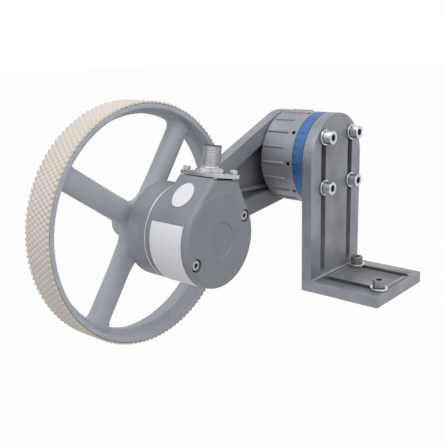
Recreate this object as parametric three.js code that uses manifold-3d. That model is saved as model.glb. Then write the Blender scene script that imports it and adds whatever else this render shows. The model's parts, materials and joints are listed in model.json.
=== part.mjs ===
// Encoder measuring wheel: an L-bracket carries a spring drum, and the drum's arm carries a shaft encoder
// with its wheel. Millimetres, +Z up. The origin is the centre of the bracket's underside, and every shaft
// lies along Y.
import * as THREE from "three";
import { mergeVertices } from "three/addons/utils/BufferGeometryUtils.js";
import Module from "manifold-3d";

const wasm = await Module();
wasm.setup();

// Fits and cuts
const FIT_GAP = 0.3; // between faces that meet
const CUT_OVERRUN = 1; // how far a cutter runs past the face that it opens
const TAP_SPARE = 1; // how much deeper a tapped hole goes than its screw

// Bracket
const BRACKET_WIDTH = 65;
const BASE_LENGTH = 60;
const BASE_THICK = 8;
const PLATE_THICK = 8;
const PIVOT_HEIGHT = 90.5;
const BEND_FILLET = 1;
const CORNER_RADIUS = 1.2;
const SLOT_WIDTH = 5.8;
const SCREW_PATTERN = 35; // square pattern of the four drum screws
const PLATE_SLOT_ABOVE_BASE = 6.5;
const PLATE_SLOT_SPARE = 0.5;
const BASE_SLOT_SPACING = 37;
const BASE_SLOT_FROM_EDGE = 6.4;
const BASE_SLOT_FROM_PLATE = 5.4;
const LEFT_SCREW_FROM_END = 0.3;
const RIGHT_SCREW_FROM_END = 2;

// Socket-head screws and washers of the bracket
const BRACKET_SCREW_RADIUS = 2.5;
const BRACKET_HEAD_RADIUS = 4.25;
const BRACKET_HEAD_HEIGHT = 5;
const BRACKET_KEY_FLATS = 4;
const BRACKET_KEY_DEPTH = 3;
const PLATE_SCREW_GRIP = 6; // how far the drum screws reach into the drum
const BASE_SCREW_SHORT = 0.6; // how far the base screws stop above the underside
const WASHER_THICK = 1.5;
const PLATE_WASHER_RADIUS = 5;
const BASE_WASHER_RADIUS = 6;
const HEAD_CHAMFER = 0.5;

// Spring drum
const DRUM_RADIUS = 32.4;
const SCALE_LENGTH = 8.2;
const SCALE_WALL = 3.1;
const SPIGOT_LENGTH = 5;
const GRIP_LENGTH = 26.5;
const GRIP_SIDE_WALL = 5.2;
const GRIP_END_WALL = 4;
const GRIP_EDGE = 0.8;
const RIB_COUNT = 18;
const RIB_HEIGHT = 1;
const RIB_SINK = 0.8;
const RIB_WIDTH = 2;
const RIB_FROM_FRONT = 6.8;
const RIB_FROM_REAR = 1.5;
const GRIP_PHASE_DEG = 1;
const PIN_HOLE_COUNT = 9; // in line with every second rib
const PIN_HOLE_RADIUS = 1.5;
const PIN_HOLE_FROM_FRONT = 3.1;
const PIN_HOLE_DEPTH = 3.8;

// Pivot and its retainer
const PIVOT_RADIUS = 8;
const PIVOT_COLLAR_RADIUS = 11;
const PIVOT_COLLAR_THICK = 1.9;
const PIVOT_PROUD = 0.2;
const BUSH_WALL = 1.8;
const BUSH_LENGTH = 12;
const ARM_HUB_RADIUS = 13.5;
const HUB_TO_GRIP = 2.5;
const RETAINER_RADIUS = 12.5;
const RETAINER_THICK = 2;
const RETAINER_HEAD_RADIUS = 5;
const RETAINER_HEAD_HEIGHT = 4;
const RETAINER_SCREW_RADIUS = 2.8;
const RETAINER_SCREW_GRIP = 9;
const RETAINER_KEY_FLATS = 5;
const RETAINER_KEY_DEPTH = 2.4;

// Torsion spring between the arm's hub and the grip ring
const SPRING_WIRE_RADIUS = 1.4;
const SPRING_TURNS = 3;
const SPRING_LEG_SHARE = 0.05; // of the wound length, at each end

// Arm
const ARM_LENGTH = 125.7;
const ARM_DROP_DEG = 14.5;
const ARM_HEAD_RADIUS = 33;
const ARM_TAIL_RADIUS = 15.3;
const ARM_FROM_GRIP = 0.4;
const ARM_THICK = 11.7;
const ARM_FRAME_THICK = 7.6;
const ARM_REAR_INSET = 3.6;
const ARM_WEB = 2.2;
const POCKET_LENGTH = 79.7;
const POCKET_HEAD_RADIUS = 22.3;
const POCKET_TAIL_RADIUS = 8.2;
const ARM_RIB_THICK = 2.6;
const ARM_RIB_DEPTH = 4.5;
const ARM_RIB_START_SHARES = [0.55, -0.55]; // of the arm's head radius, out from the pivot and up
const ARM_RIB_END_SHARES = [1.05, 0.4]; // of the pocket's length and of its tail radius

// Cup at the arm's end
const CUP_RADIUS = 30;
const CUP_PROUD = 4.8; // in front of the arm's face
const CUP_WALL = 3.1;
const CUP_FLOOR_THICK = 6.4;
const CUP_OPENING = 14;
const CUP_EDGE = 0.6;
const FLANGE_SCREW_CIRCLE = 20.5;
const FLANGE_SCREW_DEGS = [90, 210, 330];
const FLANGE_SCREW_RADIUS = 2;
const FLANGE_HEAD_RADIUS = 3.5;
const FLANGE_HEAD_HEIGHT = 3.4;
const FLANGE_HEAD_SINK = 3.8;
const FLANGE_SCREW_GRIP = 6;
const FLANGE_KEY_FLATS = 3;
const FLANGE_KEY_DEPTH = 2;

// Encoder cover, drawn upright and leaned with the encoder
const ENCODER_LEAN_DEG = 11.2;
const COVER_LENGTH = 34.1;
const COVER_WALL = 2.7;
const COVER_EDGE = 2.6;
const COVER_DISC_RADIUS = 11;
const COVER_DISC_DEPTH = 0.35;
const HUMP_HEIGHT = 36; // above the shaft
const HUMP_HALF_WIDTH = 10.3;
const HUMP_LENGTH = 28.8;
const HUMP_BORE = 6;
const COVER_SCREW_CIRCLE = 24.6;
const COVER_SCREW_SPOTS = [["left", 215.8], ["right", 35.8]]; // name and angle
const COVER_SCREW_RADIUS = 1.5;
const COVER_HEAD_RADIUS = 3.2;
const COVER_HEAD_HEIGHT = 2.2;
const COVER_SCREW_GRIP = 5;
const COVER_KEY_FLATS = 2.5;
const COVER_KEY_DEPTH = 1.4;
const COVER_RECESS_DEPTH = 3;
const COVER_RECESS_GAP = 0.8; // round the screw's head
const COVER_POST_WALL = 0.6; // round the recess

// Encoder flange, bearings and shaft
const ENCODER_BODY_LENGTH = 13.3; // in front of the cup
const BEARING_OUTER_RADIUS = 13;
const BEARING_WIDTH = 8;
const BEARING_SHOULDER = 2.4;
const BEARING_SETBACK = 1;
const SHAFT_RADIUS = 5;
const SHAFT_SHORT = 2.5; // of the wheel's rear boss

// Circuit board and code disc
const BOARD_FROM_FACE = 6.5;
const BOARD_THICK = 1.6;
const SCANNER_WIDTH = 9;
const SCANNER_DEPTH = 5.5;
const SCANNER_HEIGHT = 6;
const SCANNER_OFFSET = 14;
const SCANNER_AIR = 0.6;
const CODE_DISC_RADIUS = 18;
const CODE_DISC_THICK = 1;
const DISC_HUB_RADIUS = 8;
const DISC_HUB_LENGTH = 4.2;
const SHAFT_PAST_DISC = 1;

// Connector on the hump
const CONNECTOR_MARGIN = 0.3; // inside the hump's edges
const CONNECTOR_CORNER = 2;
const SEAL_THICK = 0.8;
const CONNECTOR_PLATE_THICK = 2.6;
const CONNECTOR_COLLAR_RADIUS = 8.2;
const CONNECTOR_COLLAR_HEIGHT = 2.4;
const CONNECTOR_HEIGHT = 18;
const CONNECTOR_TUBE_RADIUS = 5.6;
const CONNECTOR_TUBE_WALL = 0.9;
const CONNECTOR_GROOVE_DEPTH = 0.5;
const CONNECTOR_GROOVE_COUNT = 2;
const CONNECTOR_GROOVE_PITCH = 1.6;
const INSERT_HEIGHT = 10;
const PIN_RADIUS = 0.5;
const PIN_LENGTH = 5.3;
const PIN_CIRCLE = 2.9;
const PIN_COUNT = 7;
const CONNECTOR_SCREW_FROM_SIDE = 2.6;
const CONNECTOR_SCREW_FROM_END = 2.7;
const CONNECTOR_SCREW_RADIUS = 1.2;
const CONNECTOR_HEAD_RADIUS = 2.3;
const CONNECTOR_HEAD_HEIGHT = 2.2;
const CONNECTOR_SCREW_GRIP = 2.5;
const CONNECTOR_KEY_FLATS = 2;
const CONNECTOR_KEY_DEPTH = 1.2;

// Labels, bare foil
const LABEL_THICK = 0.25;
const LABEL_LIFT = 0.15;
const LABEL_START_DEG = 165;
const LABEL_END_DEG = 262;
const LABEL_FROM_FACE = 4.7;
const LABEL_WIDTH = 25.4;
const OVAL_HALF_LENGTH = 9;
const OVAL_HALF_WIDTH = 6.4;
const OVAL_FROM_FACE = 16;
const OVAL_BELOW_HUMP = 8.9;

// Wheel
const WHEEL_RADIUS = 79.58; // a circumference of 500
const WHEEL_WIDTH = 22.9;
const WHEEL_FROM_ARM = 10;
const TREAD_THICK = 1.4;
const TREAD_SETBACK = 0.3;
const TREAD_EDGE = 0.9;
const NUB_COUNT = 136; // round the wheel
const NUB_ROWS = 8;
const NUB_ROW_SPACING = 2.8;
const NUB_DEPTH = 0.9;
const RIM_WALL = 3.2;
const RIM_CHAMFER = 0.5;
const RIDGE_HEIGHT = 3.2;
const RIDGE_TOP_WIDTH = 5;
const RIDGE_FOOT_WIDTH = 12;
const SPOKE_COUNT = 4;
const SPOKE_PHASE_DEG = 55;
const SPOKE_HALF_WIDTH = 7.8;
const SPOKE_DEPTH_SHARE = 0.74; // of the spoke's width
const RIM_FLARE = 4.2;
const RIM_FLARE_LENGTH = 15;
const HUB_FLARE = 2.4;
const HUB_FLARE_LENGTH = 8;
const SPOKE_START = 11;
const SPOKE_SINK = 0.6; // into the rim
const WEB_FILLET = 10; // between two spokes
const WEB_LENGTH = 17;
const WEB_EDGE = 3;
const FRONT_BOSS_RADIUS = 15;
const FRONT_BOSS_FROM_ARM = 1.8;
const REAR_BOSS_RADIUS = 11.5;
const REAR_BOSS_PROUD = 2.7; // behind the rim
const GRUB_RADIUS = 1.7;
const GRUB_LENGTH = 5;
const GRUB_KEY_FLATS = 1.8;
const GRUB_KEY_DEPTH = 2;
const GRUB_DEGS = [0, 90];

// Facets
const LARGE_SIDES = 52;
const HIDDEN_SIDES = 22;
const MEDIUM_SIDES = 20;
const SMALL_SIDES = 8;
const PIN_SIDES = 6;
const HEXAGON = 6;
const SPOKE_SIDES = 12;
const SPOKE_STATION_SHARES = [0, 0.05, 0.12, 0.75, 0.88, 1];
const WEB_EDGE_STEPS = 1;
const COLUMNS_PER_EDGE_FACET = 4;
const SPRING_SECTIONS = 48;
const SPRING_SIDES = 3;
const ARC_STEPS = 13;
const CORNER_STEPS = 4;
const LABEL_STEPS = 6;
const FILLET_STEPS = 3;

// Stations along Y, from the bracket back to the wheel
const PLATE_INNER_Y = BASE_LENGTH / 2;
const PLATE_OUTER_Y = PLATE_INNER_Y - PLATE_THICK;
const DRUM_START_Y = PLATE_INNER_Y + FIT_GAP;
const SCALE_END_Y = DRUM_START_Y + SCALE_LENGTH;
const SPIGOT_END_Y = SCALE_END_Y + SPIGOT_LENGTH;
const GRIP_START_Y = SCALE_END_Y + FIT_GAP;
const GRIP_END_Y = GRIP_START_Y + GRIP_LENGTH;
const GRIP_FLOOR_Y = GRIP_END_Y - GRIP_END_WALL;
const ARM_HUB_Y = SPIGOT_END_Y + PIVOT_COLLAR_THICK + 2 * FIT_GAP;
const ARM_FRONT_Y = GRIP_END_Y + ARM_FROM_GRIP;
const ARM_REAR_Y = ARM_FRONT_Y + ARM_THICK;
const PIVOT_END_Y = ARM_REAR_Y + PIVOT_PROUD;
const CUP_FRONT_Y = ARM_FRONT_Y - CUP_PROUD;
const CUP_FLOOR_Y = ARM_REAR_Y - CUP_FLOOR_THICK;
const COVER_END_Y = CUP_FRONT_Y - FIT_GAP;
const COVER_FACE_Y = COVER_END_Y - COVER_LENGTH;
const HUMP_END_Y = COVER_FACE_Y + HUMP_LENGTH;
const CONNECTOR_Y = COVER_FACE_Y + HUMP_LENGTH / 2;
const ENCODER_BODY_Y = COVER_END_Y - ENCODER_BODY_LENGTH;
const FRONT_BEARING_Y = ENCODER_BODY_Y + BEARING_SETBACK;
const REAR_BEARING_Y = CUP_FLOOR_Y - BEARING_SETBACK - BEARING_WIDTH;
const BOARD_Y = COVER_FACE_Y + BOARD_FROM_FACE;
const SCANNER_Y = BOARD_Y + BOARD_THICK + FIT_GAP;
const CODE_DISC_Y = SCANNER_Y + SCANNER_DEPTH + SCANNER_AIR;
const DISC_HUB_Y = CODE_DISC_Y + CODE_DISC_THICK + FIT_GAP;
const WHEEL_START_Y = ARM_REAR_Y + WHEEL_FROM_ARM;
const WHEEL_END_Y = WHEEL_START_Y + WHEEL_WIDTH;
const WHEEL_MIDDLE_Y = (WHEEL_START_Y + WHEEL_END_Y) / 2;
const REAR_BOSS_END_Y = WHEEL_END_Y + REAR_BOSS_PROUD;
const GRUB_Y = (WHEEL_MIDDLE_Y + WEB_LENGTH / 2 + REAR_BOSS_END_Y) / 2;

// Radii that follow from the pieces which carry them
const GRIP_INNER_RADIUS = DRUM_RADIUS - GRIP_SIDE_WALL;
const CUP_BORE = CUP_RADIUS - CUP_WALL;
const ENCODER_SPIGOT_RADIUS = CUP_BORE - FIT_GAP;
const COVER_INNER_RADIUS = CUP_RADIUS - COVER_WALL;
const COVER_RECESS_RADIUS = COVER_HEAD_RADIUS + COVER_RECESS_GAP;
const COVER_POST_RADIUS = COVER_RECESS_RADIUS + COVER_POST_WALL;
const CONNECTOR_BORE = CONNECTOR_TUBE_RADIUS - CONNECTOR_TUBE_WALL;
const LABEL_RADIUS = CUP_RADIUS + LABEL_LIFT;
const RIM_OUTER_RADIUS = WHEEL_RADIUS - TREAD_THICK - FIT_GAP;
const RIM_INNER_RADIUS = RIM_OUTER_RADIUS - RIM_WALL;
const RIDGE_RADIUS = RIM_INNER_RADIUS - RIDGE_HEIGHT;

// Levels of the connector above the shaft
const SEAL_LEVEL = HUMP_HEIGHT + FIT_GAP;
const SHELL_LEVEL = SEAL_LEVEL + SEAL_THICK + FIT_GAP;
const SHELL_FACE_LEVEL = SHELL_LEVEL + CONNECTOR_PLATE_THICK;
const CONNECTOR_TOP_LEVEL = SHELL_LEVEL + CONNECTOR_HEIGHT;
const INSERT_TOP_LEVEL = SHELL_LEVEL + INSERT_HEIGHT;

// Finishes
const finish = (colour, roughness, metalness) =>
  new THREE.MeshStandardMaterial({ color: colour, roughness, metalness });
const BLASTED = () => finish(0x86878e, 0.55, 0.6);
const WHEEL_PAINT = () => finish(0x9fa2a9, 0.45, 0.4);
const COVER_PAINT = () => finish(0x7e8187, 0.5, 0.3);
const BLUE = () => finish(0x3a66a8, 0.45, 0.4);
const STEEL = () => finish(0xb9babd, 0.3, 1);
const NICKEL = () => finish(0xb5b0a2, 0.3, 1);
const BRONZE = () => finish(0x9a6b3a, 0.4, 1);
const TREAD = () => finish(0xcfc5b8, 0.8, 0);
const BLACK = () => finish(0x1a1a1c, 0.6, 0);
const FOIL = () => finish(0xe6e6e8, 0.5, 0);
const BOARD = () => finish(0x1f5c3a, 0.6, 0);
const GLASS = () => finish(0x9aa4ac, 0.1, 0.2);

// Building blocks
const rad = THREE.MathUtils.degToRad;
const polar = (radius, deg) => [radius * Math.cos(rad(deg)), radius * Math.sin(rad(deg))];

function solid(geometry) {
  const g = geometry.clone();
  g.deleteAttribute("normal");
  g.deleteAttribute("uv");
  const m = mergeVertices(g);
  return new wasm.Manifold(
    new wasm.Mesh({
      numProp: 3,
      vertProperties: new Float32Array(m.attributes.position.array),
      triVerts: new Uint32Array(m.index.array),
    }),
  );
}

function geometryOf(shape) {
  const m = shape.getMesh();
  const g = new THREE.BufferGeometry();
  g.setAttribute("position", new THREE.BufferAttribute(new Float32Array(m.vertProperties), 3));
  g.setIndex(new THREE.BufferAttribute(new Uint32Array(m.triVerts), 1));
  g.computeVertexNormals();
  return g;
}

function put(group, name, shape, material) {
  const mesh = new THREE.Mesh(geometryOf(shape), material);
  mesh.name = name;
  group.add(mesh);
  return mesh;
}

// A solid turned round Y from [radius, y] points, which start and end on the axis or close on themselves.
function turned(points, sides = LARGE_SIDES) {
  return solid(new THREE.LatheGeometry(points.map(([r, y]) => new THREE.Vector2(r, y)), sides));
}

function rod(radius, y0, y1, sides = MEDIUM_SIDES) {
  return turned([[0, y0], [radius, y0], [radius, y1], [0, y1]], sides);
}

function tube(outer, inner, y0, y1, sides = MEDIUM_SIDES) {
  return turned([[inner, y0], [outer, y0], [outer, y1], [inner, y1], [inner, y0]], sides);
}

function extruded(outline, depth, curveSegments) {
  return new THREE.ExtrudeGeometry(outline, { depth, bevelEnabled: false, curveSegments });
}

// An outline drawn in X and Z, extruded along Y from y0 to y1.
function slab(outline, y0, y1, steps = ARC_STEPS) {
  return solid(extruded(outline, y1 - y0, steps).rotateX(Math.PI / 2).translate(0, y1, 0));
}

// An outline drawn in X and Y, extruded up from z0 to z1.
function pad(outline, z0, z1, steps = CORNER_STEPS) {
  return solid(extruded(outline, z1 - z0, steps).translate(0, 0, z0));
}

// An outline drawn in Y and Z, extruded along X from x0 to x1.
function bar(outline, x0, x1) {
  const turnedAxes = new THREE.Matrix4().makeBasis(
    new THREE.Vector3(0, 1, 0), new THREE.Vector3(0, 0, 1), new THREE.Vector3(1, 0, 0));
  return solid(extruded(outline, x1 - x0, FILLET_STEPS).applyMatrix4(turnedAxes).translate(x0, 0, 0));
}

// A cylinder along Z with its axis at x, y.
function upright(radius, z0, z1, x, y, sides = SMALL_SIDES) {
  return solid(new THREE.CylinderGeometry(radius, radius, z1 - z0, sides)
    .rotateX(Math.PI / 2).translate(x, y, (z0 + z1) / 2));
}

function slotOutline(x, low, high, width) {
  const s = new THREE.Shape();
  s.absarc(x, high, width / 2, 0, Math.PI, false);
  s.absarc(x, low, width / 2, Math.PI, 2 * Math.PI, false);
  return s;
}

function roundedRect(halfX, halfY, corner, y = 0) {
  const s = new THREE.Shape();
  s.absarc(halfX - corner, y + halfY - corner, corner, 0, Math.PI / 2, false);
  s.absarc(corner - halfX, y + halfY - corner, corner, Math.PI / 2, Math.PI, false);
  s.absarc(corner - halfX, y - halfY + corner, corner, Math.PI, 1.5 * Math.PI, false);
  s.absarc(halfX - corner, y - halfY + corner, corner, 1.5 * Math.PI, 2 * Math.PI, false);
  return s;
}

// Two circles on the X axis joined by their outer tangents; the second lies at -length.
function taperOutline(headRadius, tailRadius, length) {
  const tilt = Math.asin((headRadius - tailRadius) / length);
  const s = new THREE.Shape();
  s.absarc(0, 0, headRadius, -Math.PI / 2 - tilt, Math.PI / 2 + tilt, false);
  s.absarc(-length, 0, tailRadius, Math.PI / 2 + tilt, 1.5 * Math.PI - tilt, false);
  return s;
}

// A socket-head screw along Y: its head's underside at y = 0, its head towards -Y.
function socketScrew({ head, height, shank, reach, flats, depth, chamfer = 0 }) {
  const points = [[0, -height], [head, chamfer - height], [head, 0], [shank, 0], [shank, reach], [0, reach]];
  if (chamfer > 0) points.splice(1, 0, [head - chamfer, -height]);
  return turned(points, SMALL_SIDES)
    .subtract(rod(flats / Math.sqrt(3), -height - CUT_OVERRUN, depth - height, HEXAGON));
}

const root = new THREE.Group();
root.name = "encoder_measuring_wheel";
const pivot = new THREE.Group();
pivot.position.set(0, 0, PIVOT_HEIGHT);
root.add(pivot);
const arm = new THREE.Group();
arm.rotation.y = -rad(ARM_DROP_DEG);
pivot.add(arm);
const axle = new THREE.Group();
axle.position.set(-ARM_LENGTH, 0, 0);
axle.rotation.y = rad(ARM_DROP_DEG);
arm.add(axle);
const encoder = new THREE.Group();
encoder.rotation.y = rad(ENCODER_LEAN_DEG);
axle.add(encoder);

// Bracket
const BASE_SLOT_FAR_Y = -BASE_LENGTH / 2 + BASE_SLOT_FROM_EDGE;
const BASE_SLOT_NEAR_Y = PLATE_OUTER_Y - BASE_SLOT_FROM_PLATE;

function bracketShape() {
  const topRadius = BRACKET_WIDTH / 2;
  const section = new THREE.Shape();
  section.moveTo(-BASE_LENGTH / 2, 0);
  section.lineTo(PLATE_INNER_Y, 0);
  section.lineTo(PLATE_INNER_Y, PIVOT_HEIGHT + topRadius);
  section.lineTo(PLATE_OUTER_Y, PIVOT_HEIGHT + topRadius);
  section.lineTo(PLATE_OUTER_Y, BASE_THICK + BEND_FILLET);
  section.absarc(PLATE_OUTER_Y - BEND_FILLET, BASE_THICK + BEND_FILLET, BEND_FILLET, 0, -Math.PI / 2, true);
  section.lineTo(-BASE_LENGTH / 2, BASE_THICK);
  const face = new THREE.Shape();
  face.moveTo(-topRadius, 0);
  face.lineTo(topRadius, 0);
  face.absarc(0, PIVOT_HEIGHT, topRadius, 0, Math.PI, false);
  let shape = bar(section, -topRadius, topRadius)
    .intersect(slab(face, -BASE_LENGTH, BASE_LENGTH))
    .intersect(pad(roundedRect(topRadius, BASE_LENGTH / 2, CORNER_RADIUS), 0, 2 * PIVOT_HEIGHT));
  const slotLow = BASE_THICK + PLATE_SLOT_ABOVE_BASE;
  const slotHigh = PIVOT_HEIGHT + SCREW_PATTERN / 2 + PLATE_SLOT_SPARE;
  for (const side of [-1, 1]) {
    shape = shape
      .subtract(slab(slotOutline(side * SCREW_PATTERN / 2, slotLow, slotHigh, SLOT_WIDTH),
        PLATE_OUTER_Y - CUT_OVERRUN, PLATE_INNER_Y + CUT_OVERRUN, CORNER_STEPS))
      .subtract(pad(slotOutline(side * BASE_SLOT_SPACING / 2, BASE_SLOT_FAR_Y, BASE_SLOT_NEAR_Y, SLOT_WIDTH),
        -CUT_OVERRUN, BASE_THICK + CUT_OVERRUN));
  }
  return shape;
}
put(root, "bracket", bracketShape(), BLASTED());

// The bracket's washers and screws
const washerShape = (radius) =>
  tube(radius, BRACKET_SCREW_RADIUS + FIT_GAP, -WASHER_THICK, 0, SMALL_SIDES);
const bracketScrew = (reach) => socketScrew({
  head: BRACKET_HEAD_RADIUS,
  height: BRACKET_HEAD_HEIGHT,
  shank: BRACKET_SCREW_RADIUS,
  reach,
  flats: BRACKET_KEY_FLATS,
  depth: BRACKET_KEY_DEPTH,
  chamfer: HEAD_CHAMFER,
});
const screwUnderHead = WASHER_THICK + 2 * FIT_GAP;

for (const [name, side, y] of [
  ["left", -1, BASE_SLOT_FAR_Y + LEFT_SCREW_FROM_END],
  ["right", 1, BASE_SLOT_NEAR_Y - RIGHT_SCREW_FROM_END],
]) {
  const x = side * BASE_SLOT_SPACING / 2;
  const washer = put(root, `base_washer_${name}`, washerShape(BASE_WASHER_RADIUS), STEEL());
  washer.position.set(x, y, BASE_THICK + FIT_GAP);
  washer.rotation.x = -Math.PI / 2;
  const screw = put(root, `base_screw_${name}`,
    bracketScrew(BASE_THICK + screwUnderHead - BASE_SCREW_SHORT), STEEL());
  screw.position.set(x, y, BASE_THICK + screwUnderHead);
  screw.rotation.x = -Math.PI / 2;
}

for (const [name, sideX, sideZ] of [
  ["upper_left", -1, 1],
  ["upper_right", 1, 1],
  ["lower_left", -1, -1],
  ["lower_right", 1, -1],
]) {
  const x = sideX * SCREW_PATTERN / 2;
  const z = sideZ * SCREW_PATTERN / 2;
  const washer = put(pivot, `plate_washer_${name}`, washerShape(PLATE_WASHER_RADIUS), STEEL());
  washer.position.set(x, PLATE_OUTER_Y - FIT_GAP, z);
  const screw = put(pivot, `plate_screw_${name}`,
    bracketScrew(screwUnderHead + PLATE_THICK + FIT_GAP + PLATE_SCREW_GRIP), STEEL());
  screw.position.set(x, PLATE_OUTER_Y - screwUnderHead, z);
}

// Spring drum
function mountingFlange() {
  const core = DRUM_RADIUS - SCALE_WALL - FIT_GAP;
  const spigot = GRIP_INNER_RADIUS - FIT_GAP;
  const bore = PIVOT_RADIUS + FIT_GAP;
  let shape = turned([
    [bore, DRUM_START_Y],
    [core, DRUM_START_Y],
    [core, SCALE_END_Y],
    [spigot, SCALE_END_Y],
    [spigot, SPIGOT_END_Y],
    [bore, SPIGOT_END_Y],
    [bore, DRUM_START_Y],
  ], HIDDEN_SIDES);
  const tapEnd = DRUM_START_Y + PLATE_SCREW_GRIP + TAP_SPARE;
  for (const sideX of [-1, 1])
    for (const sideZ of [-1, 1])
      shape = shape.subtract(
        rod(BRACKET_SCREW_RADIUS + FIT_GAP, DRUM_START_Y - CUT_OVERRUN, tapEnd, SMALL_SIDES)
          .translate([sideX * SCREW_PATTERN / 2, 0, sideZ * SCREW_PATTERN / 2]));
  return shape;
}
put(pivot, "mounting_flange", mountingFlange(), BLASTED());
put(pivot, "scale_ring",
  tube(DRUM_RADIUS, DRUM_RADIUS - SCALE_WALL, DRUM_START_Y, SCALE_END_Y, LARGE_SIDES), BLUE());

function gripRing() {
  const opening = ARM_HUB_RADIUS + HUB_TO_GRIP;
  let shape = turned([
    [GRIP_INNER_RADIUS, GRIP_START_Y],
    [DRUM_RADIUS, GRIP_START_Y],
    [DRUM_RADIUS, GRIP_END_Y - GRIP_EDGE],
    [DRUM_RADIUS - GRIP_EDGE, GRIP_END_Y],
    [opening, GRIP_END_Y],
    [opening, GRIP_FLOOR_Y],
    [GRIP_INNER_RADIUS, GRIP_FLOOR_Y],
    [GRIP_INNER_RADIUS, GRIP_START_Y],
  ]);
  const ribLength = GRIP_LENGTH - RIB_FROM_FRONT - RIB_FROM_REAR;
  const rib = new THREE.BoxGeometry(RIB_HEIGHT + RIB_SINK, ribLength, RIB_WIDTH)
    .translate(DRUM_RADIUS + (RIB_HEIGHT - RIB_SINK) / 2, GRIP_START_Y + RIB_FROM_FRONT + ribLength / 2, 0);
  for (let i = 0; i < RIB_COUNT; i += 1)
    shape = shape.add(solid(rib.clone().rotateY(-rad(GRIP_PHASE_DEG) - i * 2 * Math.PI / RIB_COUNT)));
  const hole = new THREE.CylinderGeometry(PIN_HOLE_RADIUS, PIN_HOLE_RADIUS, 2 * PIN_HOLE_DEPTH, SMALL_SIDES)
    .rotateZ(Math.PI / 2).translate(DRUM_RADIUS, GRIP_START_Y + PIN_HOLE_FROM_FRONT, 0);
  for (let i = 0; i < PIN_HOLE_COUNT; i += 1)
    shape = shape.subtract(
      solid(hole.clone().rotateY(-rad(GRIP_PHASE_DEG) - (i + 0.5) * 2 * Math.PI / PIN_HOLE_COUNT)));
  return shape;
}
put(pivot, "grip_ring", gripRing(), BLASTED());

// Pivot
function pivotShaft() {
  return turned([
    [0, DRUM_START_Y],
    [PIVOT_RADIUS, DRUM_START_Y],
    [PIVOT_RADIUS, SPIGOT_END_Y + FIT_GAP],
    [PIVOT_COLLAR_RADIUS, SPIGOT_END_Y + FIT_GAP],
    [PIVOT_COLLAR_RADIUS, ARM_HUB_Y - FIT_GAP],
    [PIVOT_RADIUS, ARM_HUB_Y - FIT_GAP],
    [PIVOT_RADIUS, PIVOT_END_Y],
    [0, PIVOT_END_Y],
  ], MEDIUM_SIDES).subtract(rod(RETAINER_SCREW_RADIUS + FIT_GAP,
    PIVOT_END_Y - RETAINER_SCREW_GRIP - TAP_SPARE, PIVOT_END_Y + CUT_OVERRUN, SMALL_SIDES));
}
put(pivot, "pivot_shaft", pivotShaft(), STEEL());
const retainerWasher = put(pivot, "retaining_washer",
  tube(RETAINER_RADIUS, RETAINER_SCREW_RADIUS + FIT_GAP, 0, RETAINER_THICK), STEEL());
retainerWasher.position.y = PIVOT_END_Y + FIT_GAP;
const retainer = put(pivot, "retaining_screw", socketScrew({
  head: RETAINER_HEAD_RADIUS,
  height: RETAINER_HEAD_HEIGHT,
  shank: RETAINER_SCREW_RADIUS,
  reach: RETAINER_SCREW_GRIP + RETAINER_THICK + 2 * FIT_GAP,
  flats: RETAINER_KEY_FLATS,
  depth: RETAINER_KEY_DEPTH,
}), STEEL());
retainer.position.y = PIVOT_END_Y + RETAINER_THICK + 2 * FIT_GAP;
retainer.rotation.x = Math.PI;

// Torsion spring: a helix whose ends spiral in to the arm's hub and out to the grip ring's wall.
class SpringPath extends THREE.Curve {
  getPoint(t) {
    const inner = ARM_HUB_RADIUS + SPRING_WIRE_RADIUS + FIT_GAP;
    const outer = GRIP_INNER_RADIUS - SPRING_WIRE_RADIUS - FIT_GAP;
    const coil = (inner + outer) / 2;
    const into = Math.max(0, 1 - t / SPRING_LEG_SHARE) ** 2;
    const out = Math.max(0, 1 - (1 - t) / SPRING_LEG_SHARE) ** 2;
    const radius = coil + (inner - coil) * into + (outer - coil) * out;
    const start = ARM_HUB_Y + SPRING_WIRE_RADIUS;
    const end = GRIP_FLOOR_Y - SPRING_WIRE_RADIUS - FIT_GAP;
    const angle = 2 * Math.PI * SPRING_TURNS * t;
    return new THREE.Vector3(radius * Math.cos(angle), start + (end - start) * t, radius * Math.sin(angle));
  }
}

function torsionSpring() {
  const wire = new THREE.Shape();
  wire.absarc(0, 0, SPRING_WIRE_RADIUS, 0, 2 * Math.PI, false);
  return solid(new THREE.ExtrudeGeometry(wire, {
    extrudePath: new SpringPath(),
    steps: SPRING_SECTIONS,
    curveSegments: SPRING_SIDES,
    bevelEnabled: false,
  }));
}
put(pivot, "torsion_spring", torsionSpring(), STEEL());

// Arm
// The angle that a direction of the encoder's own frame has in the arm's frame.
const inArm = (deg) => deg - ENCODER_LEAN_DEG - ARM_DROP_DEG;

// A bar from one point to another, each given as how far it lies out from the pivot and up.
function ribBar([u0, v0], [u1, v1], thick, y0, y1) {
  const length = Math.hypot(u1 - u0, v1 - v0);
  return solid(new THREE.BoxGeometry(length, y1 - y0, thick)
    .translate(-length / 2, (y0 + y1) / 2, 0)
    .rotateY(Math.atan2(v1 - v0, u1 - u0))
    .translate(-u0, 0, v0));
}

function cupShape() {
  return turned([
    [0, CUP_FRONT_Y],
    [CUP_RADIUS - CUP_EDGE, CUP_FRONT_Y],
    [CUP_RADIUS, CUP_FRONT_Y + CUP_EDGE],
    [CUP_RADIUS, ARM_REAR_Y - CUP_EDGE],
    [CUP_RADIUS - CUP_EDGE, ARM_REAR_Y],
    [0, ARM_REAR_Y],
  ]).translate([-ARM_LENGTH, 0, 0]);
}

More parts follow.
